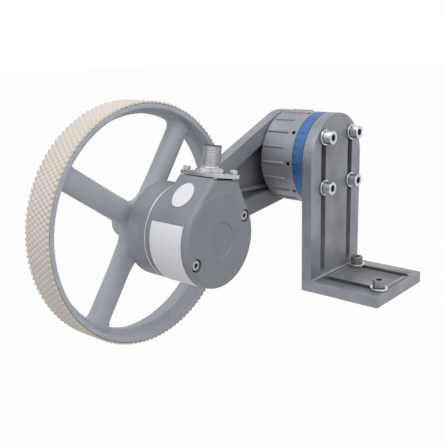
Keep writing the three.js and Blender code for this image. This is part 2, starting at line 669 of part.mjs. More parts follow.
function armShape() {
  const rear = ARM_REAR_Y + CUT_OVERRUN;
  const floor = ARM_REAR_Y - ARM_WEB;
  const ribStart = ARM_RIB_START_SHARES.map((share) => share * ARM_HEAD_RADIUS);
  const ribEnd = [ARM_RIB_END_SHARES[0] * POCKET_LENGTH, ARM_RIB_END_SHARES[1] * POCKET_TAIL_RADIUS];
  let shape = slab(taperOutline(ARM_HEAD_RADIUS, ARM_TAIL_RADIUS, ARM_LENGTH),
    ARM_FRONT_Y, ARM_FRONT_Y + ARM_FRAME_THICK)
    .add(slab(taperOutline(ARM_HEAD_RADIUS - ARM_REAR_INSET, ARM_TAIL_RADIUS - ARM_REAR_INSET, ARM_LENGTH),
      ARM_FRONT_Y, ARM_REAR_Y))
    .subtract(slab(taperOutline(POCKET_HEAD_RADIUS, POCKET_TAIL_RADIUS, POCKET_LENGTH),
      ARM_FRONT_Y - CUT_OVERRUN, floor))
    .add(ribBar(ribStart, ribEnd, ARM_RIB_THICK, floor - ARM_RIB_DEPTH, ARM_REAR_Y - ARM_WEB / 2))
    .add(rod(ARM_HUB_RADIUS, ARM_HUB_Y, ARM_REAR_Y))
    .subtract(rod(PIVOT_RADIUS + BUSH_WALL + 2 * FIT_GAP, ARM_HUB_Y - CUT_OVERRUN, rear))
    .add(cupShape())
    .subtract(rod(CUP_BORE, CUP_FRONT_Y - CUT_OVERRUN, CUP_FLOOR_Y, LARGE_SIDES)
      .translate([-ARM_LENGTH, 0, 0]))
    .subtract(rod(CUP_OPENING, CUP_FLOOR_Y - CUT_OVERRUN, rear).translate([-ARM_LENGTH, 0, 0]));
  for (const deg of FLANGE_SCREW_DEGS) {
    const [x, z] = polar(FLANGE_SCREW_CIRCLE, inArm(deg));
    const hole = rod(FLANGE_SCREW_RADIUS + FIT_GAP, CUP_FLOOR_Y - CUT_OVERRUN, rear, SMALL_SIDES)
      .add(rod(FLANGE_HEAD_RADIUS + FIT_GAP, ARM_REAR_Y - FLANGE_HEAD_SINK, rear, SMALL_SIDES));
    shape = shape.subtract(hole.translate([x - ARM_LENGTH, 0, z]));
  }
  return shape;
}
put(arm, "arm", armShape(), BLASTED());
for (const [name, y] of [["front", ARM_HUB_Y], ["rear", ARM_REAR_Y - BUSH_LENGTH]])
  put(arm, `arm_bush_${name}`,
    tube(PIVOT_RADIUS + FIT_GAP + BUSH_WALL, PIVOT_RADIUS + FIT_GAP, y, y + BUSH_LENGTH), BRONZE());

// Encoder cover
// How far round from the hump's middle its slanted sides meet the cylinder.
const COVER_SPREAD = Math.acos(CUP_RADIUS / Math.hypot(HUMP_HALF_WIDTH, HUMP_HEIGHT))
  + Math.atan2(HUMP_HALF_WIDTH, HUMP_HEIGHT);

function coverOutline() {
  const s = new THREE.Shape();
  s.moveTo(HUMP_HALF_WIDTH, HUMP_HEIGHT);
  s.lineTo(-HUMP_HALF_WIDTH, HUMP_HEIGHT);
  s.absarc(0, 0, CUP_RADIUS, Math.PI / 2 + COVER_SPREAD, 2.5 * Math.PI - COVER_SPREAD, false);
  return s;
}

const CONNECTOR_HALF_WIDTH = HUMP_HALF_WIDTH - CONNECTOR_MARGIN;
const CONNECTOR_HALF_LENGTH = HUMP_LENGTH / 2 - CONNECTOR_MARGIN;
const CONNECTOR_SCREW_SPOTS = [-1, 1].flatMap((sideX) => [-1, 1].map((sideY) => [
  sideX * (CONNECTOR_HALF_WIDTH - CONNECTOR_SCREW_FROM_SIDE),
  CONNECTOR_Y + sideY * (CONNECTOR_HALF_LENGTH - CONNECTOR_SCREW_FROM_END),
]));

function coverShape() {
  const bevelled = new THREE.ExtrudeGeometry(coverOutline(), {
    depth: HUMP_LENGTH,
    curveSegments: ARC_STEPS,
    bevelEnabled: true,
    bevelThickness: COVER_EDGE,
    bevelSize: COVER_EDGE,
    bevelOffset: -COVER_EDGE,
    bevelSegments: FILLET_STEPS,
  }).rotateX(Math.PI / 2).translate(0, HUMP_END_Y + COVER_EDGE, 0);
  const cavity = roundedRect(HUMP_HALF_WIDTH - COVER_WALL, HUMP_LENGTH / 2 - COVER_WALL, CORNER_RADIUS,
    CONNECTOR_Y);
  let shape = solid(bevelled)
    .subtract(rod(2 * HUMP_HEIGHT, HUMP_END_Y, HUMP_END_Y + 2 * COVER_EDGE, SMALL_SIDES))
    .add(rod(CUP_RADIUS, HUMP_END_Y - CUT_OVERRUN, COVER_END_Y, LARGE_SIDES))
    .subtract(rod(COVER_INNER_RADIUS, COVER_FACE_Y + COVER_WALL, COVER_END_Y + CUT_OVERRUN, LARGE_SIDES))
    .subtract(pad(cavity, 0, HUMP_HEIGHT - COVER_WALL))
    .subtract(rod(COVER_DISC_RADIUS, COVER_FACE_Y - CUT_OVERRUN, COVER_FACE_Y + COVER_DISC_DEPTH))
    .subtract(upright(HUMP_BORE, 0, HUMP_HEIGHT + CUT_OVERRUN, 0, CONNECTOR_Y));
  const tapLow = HUMP_HEIGHT - CONNECTOR_SCREW_GRIP - TAP_SPARE;
  for (const [x, y] of CONNECTOR_SCREW_SPOTS)
    shape = shape.subtract(
      upright(CONNECTOR_SCREW_RADIUS + FIT_GAP, tapLow, HUMP_HEIGHT + CUT_OVERRUN, x, y));
  for (const [, deg] of COVER_SCREW_SPOTS) {
    const [x, z] = polar(COVER_SCREW_CIRCLE, deg);
    const post = rod(COVER_POST_RADIUS, COVER_FACE_Y + COVER_EDGE, ENCODER_BODY_Y - FIT_GAP, SMALL_SIDES);
    const hole = rod(COVER_SCREW_RADIUS + FIT_GAP, COVER_FACE_Y, ENCODER_BODY_Y, SMALL_SIDES)
      .add(rod(COVER_RECESS_RADIUS, COVER_FACE_Y - CUT_OVERRUN, COVER_FACE_Y + COVER_RECESS_DEPTH,
        SMALL_SIDES));
    shape = shape.add(post.translate([x, 0, z])).subtract(hole.translate([x, 0, z]));
  }
  return shape;
}
put(encoder, "encoder_cover", coverShape(), COVER_PAINT());

const COVER_SEAT_Y = COVER_FACE_Y + COVER_RECESS_DEPTH - FIT_GAP;
for (const [name, deg] of COVER_SCREW_SPOTS) {
  const [x, z] = polar(COVER_SCREW_CIRCLE, deg);
  const screw = put(encoder, `cover_screw_${name}`, socketScrew({
    head: COVER_HEAD_RADIUS,
    height: COVER_HEAD_HEIGHT,
    shank: COVER_SCREW_RADIUS,
    reach: ENCODER_BODY_Y + COVER_SCREW_GRIP - COVER_SEAT_Y,
    flats: COVER_KEY_FLATS,
    depth: COVER_KEY_DEPTH,
  }), STEEL());
  screw.position.set(x, COVER_SEAT_Y, z);
}

// Encoder flange, its screws and bearings
function encoderFlange() {
  const seat = BEARING_OUTER_RADIUS + FIT_GAP;
  const shoulder = BEARING_OUTER_RADIUS - BEARING_SHOULDER;
  const body = COVER_INNER_RADIUS - FIT_GAP;
  let shape = turned([
    [seat, ENCODER_BODY_Y],
    [body, ENCODER_BODY_Y],
    [body, COVER_END_Y],
    [ENCODER_SPIGOT_RADIUS, COVER_END_Y],
    [ENCODER_SPIGOT_RADIUS, CUP_FLOOR_Y - FIT_GAP],
    [seat, CUP_FLOOR_Y - FIT_GAP],
    [seat, REAR_BEARING_Y - FIT_GAP],
    [shoulder, REAR_BEARING_Y - FIT_GAP],
    [shoulder, FRONT_BEARING_Y + BEARING_WIDTH + FIT_GAP],
    [seat, FRONT_BEARING_Y + BEARING_WIDTH + FIT_GAP],
    [seat, ENCODER_BODY_Y],
  ], HIDDEN_SIDES);
  for (const [, deg] of COVER_SCREW_SPOTS) {
    const [x, z] = polar(COVER_SCREW_CIRCLE, deg);
    const tapEnd = ENCODER_BODY_Y + COVER_SCREW_GRIP + TAP_SPARE;
    shape = shape.subtract(
      rod(COVER_SCREW_RADIUS + FIT_GAP, ENCODER_BODY_Y - CUT_OVERRUN, tapEnd, SMALL_SIDES)
        .translate([x, 0, z]));
  }
  for (const deg of FLANGE_SCREW_DEGS) {
    const [x, z] = polar(FLANGE_SCREW_CIRCLE, deg);
    const tapEnd = CUP_FLOOR_Y - FLANGE_SCREW_GRIP - TAP_SPARE;
    shape = shape.subtract(
      rod(FLANGE_SCREW_RADIUS + FIT_GAP, tapEnd, CUP_FLOOR_Y + CUT_OVERRUN, SMALL_SIDES)
        .translate([x, 0, z]));
  }
  return shape;
}
put(encoder, "encoder_flange", encoderFlange(), BLASTED());

for (const [i, deg] of FLANGE_SCREW_DEGS.entries()) {
  const [x, z] = polar(FLANGE_SCREW_CIRCLE, deg);
  const seatY = ARM_REAR_Y - FLANGE_HEAD_SINK + FIT_GAP;
  const screw = put(encoder, `flange_screw_${i + 1}`, socketScrew({
    head: FLANGE_HEAD_RADIUS,
    height: FLANGE_HEAD_HEIGHT,
    shank: FLANGE_SCREW_RADIUS,
    reach: seatY - CUP_FLOOR_Y + FLANGE_SCREW_GRIP,
    flats: FLANGE_KEY_FLATS,
    depth: FLANGE_KEY_DEPTH,
  }), STEEL());
  screw.position.set(x, seatY, z);
  screw.rotation.x = Math.PI;
}

for (const [name, y] of [["front", FRONT_BEARING_Y], ["rear", REAR_BEARING_Y]])
  put(encoder, `encoder_bearing_${name}`,
    tube(BEARING_OUTER_RADIUS, SHAFT_RADIUS + FIT_GAP, y, y + BEARING_WIDTH), STEEL());

// Circuit board, held in the cover's bore between its two posts
function circuitBoard() {
  let shape = rod(COVER_INNER_RADIUS - FIT_GAP, BOARD_Y, BOARD_Y + BOARD_THICK, HIDDEN_SIDES);
  for (const [, deg] of COVER_SCREW_SPOTS) {
    const [x, z] = polar(COVER_SCREW_CIRCLE, deg);
    shape = shape.subtract(rod(COVER_POST_RADIUS + FIT_GAP, COVER_FACE_Y, ENCODER_BODY_Y, SMALL_SIDES)
      .translate([x, 0, z]));
  }
  return shape;
}
put(encoder, "circuit_board", circuitBoard(), BOARD());
put(encoder, "scanner_block", solid(new THREE.BoxGeometry(SCANNER_WIDTH, SCANNER_DEPTH, SCANNER_HEIGHT)
  .translate(SCANNER_OFFSET, SCANNER_Y + SCANNER_DEPTH / 2, 0)), BLACK());

// Labels
function ratingLabel() {
  const s = new THREE.Shape();
  s.absarc(0, 0, LABEL_RADIUS + LABEL_THICK, rad(LABEL_START_DEG), rad(LABEL_END_DEG), false);
  s.absarc(0, 0, LABEL_RADIUS, rad(LABEL_END_DEG), rad(LABEL_START_DEG), true);
  const start = COVER_FACE_Y + LABEL_FROM_FACE;
  return slab(s, start, start + LABEL_WIDTH, LABEL_STEPS);
}
put(encoder, "rating_label", ratingLabel(), FOIL());

function ovalLabel() {
  const s = new THREE.Shape();
  s.absellipse(0, 0, OVAL_HALF_LENGTH, OVAL_HALF_WIDTH, 0, 2 * Math.PI, false, 0);
  return pad(s, 0, LABEL_THICK, ARC_STEPS);
}
// It lies on the hump's left slanted side, a tangent plane of the cylinder.
const slant = COVER_SPREAD + Math.PI / 2;
const ovalHeight = HUMP_HEIGHT - OVAL_BELOW_HUMP;
const alongSlant = (LABEL_RADIUS * Math.sin(slant) - ovalHeight) / Math.cos(slant);
const oval = put(encoder, "oval_label", ovalLabel(), FOIL());
oval.position.set(LABEL_RADIUS * Math.cos(slant) + alongSlant * Math.sin(slant),
  COVER_FACE_Y + OVAL_FROM_FACE, ovalHeight);
oval.rotation.y = Math.PI / 2 - slant;

// Connector
function connectorPlate(z0, z1) {
  let shape = pad(
    roundedRect(CONNECTOR_HALF_WIDTH, CONNECTOR_HALF_LENGTH, CONNECTOR_CORNER, CONNECTOR_Y), z0, z1);
  for (const [x, y] of CONNECTOR_SCREW_SPOTS)
    shape = shape.subtract(
      upright(CONNECTOR_SCREW_RADIUS + FIT_GAP, z0 - CUT_OVERRUN, z1 + CUT_OVERRUN, x, y));
  return shape;
}
put(encoder, "connector_seal", connectorPlate(SEAL_LEVEL, SEAL_LEVEL + SEAL_THICK)
  .subtract(upright(HUMP_BORE, 0, 2 * SEAL_LEVEL, 0, CONNECTOR_Y)), BLACK());

function connectorShell() {
  const collarTop = SHELL_FACE_LEVEL + CONNECTOR_COLLAR_HEIGHT;
  let shape = connectorPlate(SHELL_LEVEL, SHELL_FACE_LEVEL)
    .add(upright(CONNECTOR_COLLAR_RADIUS, SHELL_LEVEL, collarTop, 0, CONNECTOR_Y, MEDIUM_SIDES))
    .add(upright(CONNECTOR_TUBE_RADIUS, SHELL_LEVEL, CONNECTOR_TOP_LEVEL, 0, CONNECTOR_Y, MEDIUM_SIDES));
  for (let i = 1; i <= CONNECTOR_GROOVE_COUNT; i += 1) {
    const z = CONNECTOR_TOP_LEVEL - i * CONNECTOR_GROOVE_PITCH;
    const outer = CONNECTOR_TUBE_RADIUS + CUT_OVERRUN;
    const inner = CONNECTOR_TUBE_RADIUS - CONNECTOR_GROOVE_DEPTH;
    const groove = tube(outer, inner, z, z + CONNECTOR_GROOVE_PITCH / 2).rotate([90, 0, 0]);
    shape = shape.subtract(groove.translate([0, CONNECTOR_Y, 0]));
  }
  return shape.subtract(upright(CONNECTOR_BORE, SHELL_LEVEL - CUT_OVERRUN, CONNECTOR_TOP_LEVEL + CUT_OVERRUN,
    0, CONNECTOR_Y, MEDIUM_SIDES));
}
put(encoder, "connector_shell", connectorShell(), NICKEL());
put(encoder, "connector_insert",
  upright(CONNECTOR_BORE - FIT_GAP, SHELL_LEVEL, INSERT_TOP_LEVEL, 0, CONNECTOR_Y, MEDIUM_SIDES), BLACK());
for (let i = 0; i < PIN_COUNT; i += 1) {
  const [x, y] = polar(PIN_CIRCLE, i * 360 / PIN_COUNT);
  const low = INSERT_TOP_LEVEL + FIT_GAP;
  put(encoder, `connector_pin_${i + 1}`,
    upright(PIN_RADIUS, low, low + PIN_LENGTH, x, CONNECTOR_Y + y, PIN_SIDES), BRONZE());
}
for (const [i, [x, y]] of CONNECTOR_SCREW_SPOTS.entries()) {
  const screw = put(encoder, `connector_screw_${i + 1}`, socketScrew({
    head: CONNECTOR_HEAD_RADIUS,
    height: CONNECTOR_HEAD_HEIGHT,
    shank: CONNECTOR_SCREW_RADIUS,
    reach: SHELL_FACE_LEVEL + FIT_GAP - HUMP_HEIGHT + CONNECTOR_SCREW_GRIP,
    flats: CONNECTOR_KEY_FLATS,
    depth: CONNECTOR_KEY_DEPTH,
  }), STEEL());
  screw.position.set(x, y, SHELL_FACE_LEVEL + FIT_GAP);
  screw.rotation.x = -Math.PI / 2;
}

// Wheel, with spokes that flare into the hub and the rim
function spokeShape() {
  const end = RIM_INNER_RADIUS + SPOKE_SINK;
  const points = [new THREE.Vector2(0, SPOKE_START)];
  for (const share of SPOKE_STATION_SHARES) {
    const along = SPOKE_START + (end - SPOKE_START) * share;
    const atHub = Math.max(0, 1 - (along - SPOKE_START) / HUB_FLARE_LENGTH);
    const atRim = Math.max(0, 1 - (end - along) / RIM_FLARE_LENGTH);
    const flare = HUB_FLARE * atHub ** 2 + RIM_FLARE * atRim ** 2;
    points.push(new THREE.Vector2(SPOKE_HALF_WIDTH + flare, along));
  }
  points.push(new THREE.Vector2(0, end));
  return new THREE.LatheGeometry(points, SPOKE_SIDES)
    .scale(SPOKE_DEPTH_SHARE, 1, 1).rotateZ(-Math.PI / 2).translate(0, WHEEL_MIDDLE_Y, 0);
}

// The hub's web: a concave arc between each two spokes, tangent to their sides, with rounded faces
function webShape() {
  const step = 360 / SPOKE_COUNT;
  const reach = (SPOKE_HALF_WIDTH + WEB_FILLET) / Math.sin(rad(step / 2));
  const outline = new THREE.Shape();
  for (let deg = 0; deg < 360; deg += step) {
    const [x, y] = polar(reach, deg + step / 2);
    outline.absarc(x, y, WEB_FILLET, rad(deg + 270), rad(deg + step + 90), true);
  }
  return solid(new THREE.ExtrudeGeometry(outline, {
    depth: WEB_LENGTH - 2 * WEB_EDGE,
    bevelThickness: WEB_EDGE,
    bevelSize: WEB_EDGE,
    bevelOffset: -WEB_EDGE,
    bevelSegments: WEB_EDGE_STEPS,
    curveSegments: CORNER_STEPS,
  }).rotateX(Math.PI / 2).translate(0, WHEEL_MIDDLE_Y + WEB_LENGTH / 2 - WEB_EDGE, 0)
    .rotateY(-rad(SPOKE_PHASE_DEG)));
}

function wheelShape() {
  let shape = turned([
    [RIM_INNER_RADIUS, WHEEL_START_Y],
    [RIM_OUTER_RADIUS - RIM_CHAMFER, WHEEL_START_Y],
    [RIM_OUTER_RADIUS, WHEEL_START_Y + RIM_CHAMFER],
    [RIM_OUTER_RADIUS, WHEEL_END_Y - RIM_CHAMFER],
    [RIM_OUTER_RADIUS - RIM_CHAMFER, WHEEL_END_Y],
    [RIM_INNER_RADIUS, WHEEL_END_Y],
    [RIM_INNER_RADIUS, WHEEL_MIDDLE_Y + RIDGE_FOOT_WIDTH / 2],
    [RIDGE_RADIUS, WHEEL_MIDDLE_Y + RIDGE_TOP_WIDTH / 2],
    [RIDGE_RADIUS, WHEEL_MIDDLE_Y - RIDGE_TOP_WIDTH / 2],
    [RIM_INNER_RADIUS, WHEEL_MIDDLE_Y - RIDGE_FOOT_WIDTH / 2],
    [RIM_INNER_RADIUS, WHEEL_START_Y],
  ]);
  for (let i = 0; i < SPOKE_COUNT; i += 1)
    shape = shape.add(
      solid(spokeShape().rotateY(-rad(SPOKE_PHASE_DEG) - i * 2 * Math.PI / SPOKE_COUNT)));
  shape = shape.add(webShape()).add(turned([
    [0, ARM_REAR_Y + FRONT_BOSS_FROM_ARM],
    [FRONT_BOSS_RADIUS, ARM_REAR_Y + FRONT_BOSS_FROM_ARM],
    [FRONT_BOSS_RADIUS, WHEEL_MIDDLE_Y],
    [REAR_BOSS_RADIUS, WHEEL_MIDDLE_Y],
    [REAR_BOSS_RADIUS, REAR_BOSS_END_Y],
    [0, REAR_BOSS_END_Y],
  ], MEDIUM_SIDES)).subtract(rod(SHAFT_RADIUS + FIT_GAP, ARM_REAR_Y, REAR_BOSS_END_Y + CUT_OVERRUN));
  const hole = GRUB_RADIUS + FIT_GAP;
  const length = REAR_BOSS_RADIUS + CUT_OVERRUN;
  for (const deg of GRUB_DEGS)
    shape = shape.subtract(solid(new THREE.CylinderGeometry(hole, hole, length, SMALL_SIDES)
      .rotateZ(Math.PI / 2).translate(length / 2, GRUB_Y, 0).rotateY(-rad(deg))));
  return shape;
}
put(axle, "wheel", wheelShape(), WHEEL_PAINT());

// The tread is a closed mesh of rings. Tips and hollows alternate along a row and from row to row, so that
// each nub is a pyramid of four facets whose corners are the hollows beside it.
function treadShape() {
  const start = WHEEL_START_Y + TREAD_SETBACK;
  const end = WHEEL_END_Y - TREAD_SETBACK;
  const firstRow = (start + end - (NUB_ROWS - 1) * NUB_ROW_SPACING) / 2;
  const columns = 2 * NUB_COUNT;
  const facets = columns / COLUMNS_PER_EDGE_FACET;
  const points = [];
  const faces = [];

  function ring(count, y, radiusAt) {
    const first = points.length / 3;
    for (let i = 0; i < count; i += 1) {
      const angle = 2 * Math.PI * i / count;
      points.push(radiusAt(i) * Math.cos(angle), y, radiusAt(i) * Math.sin(angle));
    }
    return (i) => first + (i + count) % count;
  }

  const rows = [];
  for (let r = 0; r < NUB_ROWS; r += 1)
    rows.push(ring(columns, firstRow + r * NUB_ROW_SPACING, (i) => WHEEL_RADIUS - (i + r) % 2 * NUB_DEPTH));
  for (const [r, row] of rows.entries())
    for (let i = r % 2; i < columns; i += 2) {
      if (r < NUB_ROWS - 1)
        faces.push(row(i), rows[r + 1](i), row(i + 1), row(i), row(i - 1), rows[r + 1](i));
      if (r > 0)
        faces.push(row(i), rows[r - 1](i), row(i - 1), row(i), row(i + 1), rows[r - 1](i));
    }

  const edgeRadius = WHEEL_RADIUS - TREAD_EDGE;
  const innerRadius = RIM_OUTER_RADIUS + FIT_GAP;
  const rings = [[edgeRadius, start], [innerRadius, start], [innerRadius, end], [edgeRadius, end]]
    .map(([radius, y]) => ring(facets, y, () => radius));
  const half = COLUMNS_PER_EDGE_FACET / 2;
  for (let k = 0; k < facets; k += 1) {
    for (let r = 0; r < rings.length - 1; r += 1) {
      const [here, next] = [rings[r], rings[r + 1]];
      faces.push(here(k), here(k + 1), next(k + 1), here(k), next(k + 1), next(k));
    }
    const [low, high] = [rings[0], rings[rings.length - 1]];
    const [firstNubs, lastNubs] = [rows[0], rows[rows.length - 1]];
    const column = k * COLUMNS_PER_EDGE_FACET;
    faces.push(low(k), firstNubs(column + half), low(k + 1));
    faces.push(high(k), high(k + 1), lastNubs(column + half));
    for (let j = 0; j < COLUMNS_PER_EDGE_FACET; j += 1) {
      const corner = k + (j < half ? 0 : 1);
      faces.push(low(corner), firstNubs(column + j), firstNubs(column + j + 1));
      faces.push(high(corner), lastNubs(column + j + 1), lastNubs(column + j));
    }
  }
  const geometry = new THREE.BufferGeometry();
  geometry.setAttribute("position", new THREE.BufferAttribute(new Float32Array(points), 3));
  geometry.setIndex(faces);
  return solid(geometry);
}
put(axle, "tread", treadShape(), TREAD());

// Shaft, code disc and the wheel's grub screws
put(axle, "encoder_shaft",
  rod(SHAFT_RADIUS, CODE_DISC_Y - SHAFT_PAST_DISC, REAR_BOSS_END_Y - SHAFT_SHORT), STEEL());
put(axle, "code_disc",
  tube(CODE_DISC_RADIUS, SHAFT_RADIUS + FIT_GAP, CODE_DISC_Y, CODE_DISC_Y + CODE_DISC_THICK), GLASS());
put(axle, "disc_hub",
  tube(DISC_HUB_RADIUS, SHAFT_RADIUS + FIT_GAP, DISC_HUB_Y, DISC_HUB_Y + DISC_HUB_LENGTH), BRONZE());
for (const [i, deg] of GRUB_DEGS.entries()) {
  const grub = put(axle, `grub_screw_${i + 1}`, socketScrew({
    head: GRUB_RADIUS,
    height: GRUB_LENGTH / 2,
    shank: GRUB_RADIUS,
    reach: GRUB_LENGTH / 2,
    flats: GRUB_KEY_FLATS,
    depth: GRUB_KEY_DEPTH,
  }), STEEL());
  const [x, z] = polar(SHAFT_RADIUS + FIT_GAP + GRUB_LENGTH / 2, deg);
  grub.rotation.order = "YXZ";
  grub.rotation.set(0, -rad(deg), Math.PI / 2);
  grub.position.set(x, GRUB_Y, z);
}

export default root;
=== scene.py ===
"""Encoder measuring wheel: the looks of the packed model, laid out as an add-on and run as a script.

Metres, +Z up. Every shaft lies along Y: the bracket stands in front, and the wheel runs at the back.
"""
import json
import math

import bmesh
import bpy
import numpy as np
from bpy.props import FloatProperty, FloatVectorProperty, IntProperty, PointerProperty
from mathutils import Matrix, Vector
from mathutils.geometry import delaunay_2d_cdt


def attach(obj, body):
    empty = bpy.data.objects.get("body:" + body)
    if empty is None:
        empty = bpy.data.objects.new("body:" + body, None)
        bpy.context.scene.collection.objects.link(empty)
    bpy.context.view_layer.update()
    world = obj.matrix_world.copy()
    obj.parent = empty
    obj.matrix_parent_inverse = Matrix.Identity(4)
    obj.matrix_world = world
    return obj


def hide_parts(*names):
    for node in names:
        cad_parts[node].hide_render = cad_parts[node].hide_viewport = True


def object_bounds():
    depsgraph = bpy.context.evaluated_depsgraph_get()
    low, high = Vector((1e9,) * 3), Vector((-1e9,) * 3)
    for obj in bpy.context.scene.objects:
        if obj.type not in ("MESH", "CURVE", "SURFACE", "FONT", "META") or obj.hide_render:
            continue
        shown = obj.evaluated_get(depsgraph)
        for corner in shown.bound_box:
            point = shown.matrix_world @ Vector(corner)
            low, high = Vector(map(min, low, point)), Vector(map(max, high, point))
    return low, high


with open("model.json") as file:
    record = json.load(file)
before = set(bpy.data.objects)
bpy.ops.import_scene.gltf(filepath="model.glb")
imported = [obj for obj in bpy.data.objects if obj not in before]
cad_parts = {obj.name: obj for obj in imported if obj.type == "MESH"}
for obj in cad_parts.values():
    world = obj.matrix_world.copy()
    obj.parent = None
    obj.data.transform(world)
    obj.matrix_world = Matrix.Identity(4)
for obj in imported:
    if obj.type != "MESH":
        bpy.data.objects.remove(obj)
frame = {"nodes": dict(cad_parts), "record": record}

bl_info = {
    "name": "Encoder Measuring Wheel",
    "version": (1, 0, 0),
    "blender": (4, 5, 0),
    "location": "3D View > Sidebar > Measuring Wheel",
    "description": "Builds the visible pieces of a spring-loaded encoder measuring wheel",
    "category": "Object",
}

MM = 0.001
TURN = 2 * math.pi
GAP = 0.3 * MM  # between pieces that meet
BODY_OF = {node: body for body, nodes in frame["record"]["behaviour"]["bodies"].items() for node in nodes}
CAD_BOX = [[float(value) for value in corner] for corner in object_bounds()]


# Properties


def length(name, millimetres, description):
    """A length that a user may change, given in millimetres."""
    return FloatProperty(
        name=name, description=description, default=millimetres * MM, unit="LENGTH", precision=5)


def degrees(name, value, description):
    """An angle that a user may change, given in degrees."""
    return FloatProperty(name=name, description=description, default=math.radians(value), unit="ROTATION")


def number(name, value, description, least, most):
    """How many of a feature there are, which a user may change."""
    return IntProperty(name=name, description=description, default=value, min=least, max=most)


def colour(name, code, description):
    """A colour that a user may change, given as a screen colour and kept as a linear one."""
    screen = [(code >> shift & 255) / 255 for shift in (16, 8, 0)]
    linear = [c / 12.92 if c < 0.04045 else ((c + 0.055) / 1.055) ** 2.4 for c in screen]
    return FloatVectorProperty(
        name=name, description=description, default=linear, subtype="COLOR", size=3, min=0, max=1)


class BracketSizes(bpy.types.PropertyGroup):
    """The L-shaped bracket."""

    width: length("Width", 65, "Across the bracket")
    base_length: length("Base length", 60, "From the free edge to the back of the plate")
    thickness: length("Thickness", 8, "Of the base and of the plate")
    pivot_height: length("Pivot height", 90.5, "From the underside to the arm's pivot")
    slot_width: length("Slot width", 5.8, "Of all four slots")
    slot_spacing: length("Slot spacing", 35, "Between the plate's slots")
    base_slot_spacing: length("Base slot spacing", 37, "Between the base's slots")
    slot_low: length("Slot foot", 14.5, "Height of the lower arc's centre in the plate's slots")
    slot_high: length("Slot head", 108.5, "Height of the upper arc's centre in the plate's slots")
    base_slot_far: length("Base slot far end", -23.6, "Centre of the far arc, along Y")
    base_slot_near: length("Base slot near end", 16.6, "Centre of the near arc, along Y")
    corner: length("Corner radius", 1.2, "Of the base's free corners")
    edge: length("Edge radius", 0.45, "Rounding of every edge")
    fillet: length("Bend fillet", 1.3, "Inside the bend")


class ScrewSizes(bpy.types.PropertyGroup):
    """Screws and washers."""

    head_radius: length("Head radius", 4.25, "Of the base's screws")
    head_height: length("Head height", 5, "Of the base's screws")
    key_flats: length("Key across flats", 4, "Of the base's screws")
    plate_head_radius: length("Plate head radius", 4.6, "Of the drum's screws")
    plate_head_height: length("Plate head height", 5.6, "Of the drum's screws")
    plate_key_flats: length("Plate key across flats", 4.5, "Of the drum's screws")
    shank_radius: length("Shank radius", 2.5, "Of the bracket's screws")
    pitch: length("Thread pitch", 0.8, "Of the bracket's screws")
    washer: length("Washer thickness", 1.5, "Of the bracket's washers")
    plate_washer: length("Plate washer radius", 5.5, "Under the drum's screws")
    base_washer: length("Base washer radius", 6, "Under the base's screws")
    gap: length("Fit gap", 0.3, "Between faces that meet")


class DrumSizes(bpy.types.PropertyGroup):
    """The spring drum."""

    radius: length("Radius", 32.4, "Of the scale ring and the grip ring")
    start: length("Start", 30.3, "Front of the scale ring, along Y")
    scale_length: length("Scale length", 8.2, "Of the blue ring")
    scale_wall: length("Scale wall", 3.1, "Of the blue ring")
    grip_length: length("Grip length", 26.5, "Of the ribbed ring")
    grip_wall: length("Grip wall", 5.2, "Of the ribbed ring")
    end_wall: length("End wall", 4, "At the back of the ribbed ring")
    opening: length("Opening", 16, "Radius round the arm's hub")
    rib_count: number("Ribs", 18, "Round the ribbed ring", 6, 48)
    rib_height: length("Rib height", 1, "Above the ring")
    rib_width: length("Rib width", 2, "Of each rib")
    rib_from_front: length("Rib from front", 6.8, "From the ring's front to a rib")
    rib_from_rear: length("Rib from rear", 1.5, "From a rib to the ring's back")
    hole_radius: length("Pin hole radius", 1.5, "Of the holes for the setting pin")
    hole_from_front: length("Pin hole from front", 3.1, "From the ring's front to the holes' centres")
    hole_depth: length("Pin hole depth", 3.8, "Of the holes for the setting pin")
    phase: degrees("Phase", 1, "How far the ring is turned")


class ArmSizes(bpy.types.PropertyGroup):
    """The swing arm and its cup."""

    length: length("Length", 125.7, "From the pivot to the wheel's shaft")
    drop: degrees("Drop", 14.5, "Below level at rest")
    head_radius: length("Head radius", 33, "Round the pivot")
    tail_radius: length("Tail radius", 15.3, "Round the shaft")
    front: length("Front", 65.7, "The arm's front face, along Y")
    thickness: length("Thickness", 11.7, "Of the whole arm")
    frame_thickness: length("Frame thickness", 7.6, "Of the wide front part")
    rear_inset: length("Rear inset", 3.6, "How far the rear part stands in")
    web: length("Web", 2.2, "Behind the pocket")
    pocket_length: length("Pocket length", 79.7, "Between the pocket's two centres")
    pocket_head: length("Pocket head radius", 22.3, "Round the pivot")
    pocket_tail: length("Pocket tail radius", 8.2, "At the cup's end")
    rib_thickness: length("Rib thickness", 2.6, "Of the rib across the pocket")
    rib_depth: length("Rib depth", 4.5, "Above the pocket's floor")
    hub_radius: length("Hub radius", 13.5, "Inside the drum")
    hub_front: length("Hub front", 46, "Front of the hub, along Y")
    hub_bore: length("Hub bore", 10.4, "For the bushes")
    cup_radius: length("Cup radius", 30, "Round the encoder")
    cup_bore: length("Cup bore", 26.9, "For the encoder's spigot")
    cup_front: length("Cup front", 60.9, "The cup's lip, along Y")
    cup_floor: length("Cup floor", 71, "Seat of the encoder, along Y")
    cup_opening: length("Cup opening", 14, "Round the shaft")
    screw_circle: length("Screw circle", 20.5, "Radius of the encoder's screws")


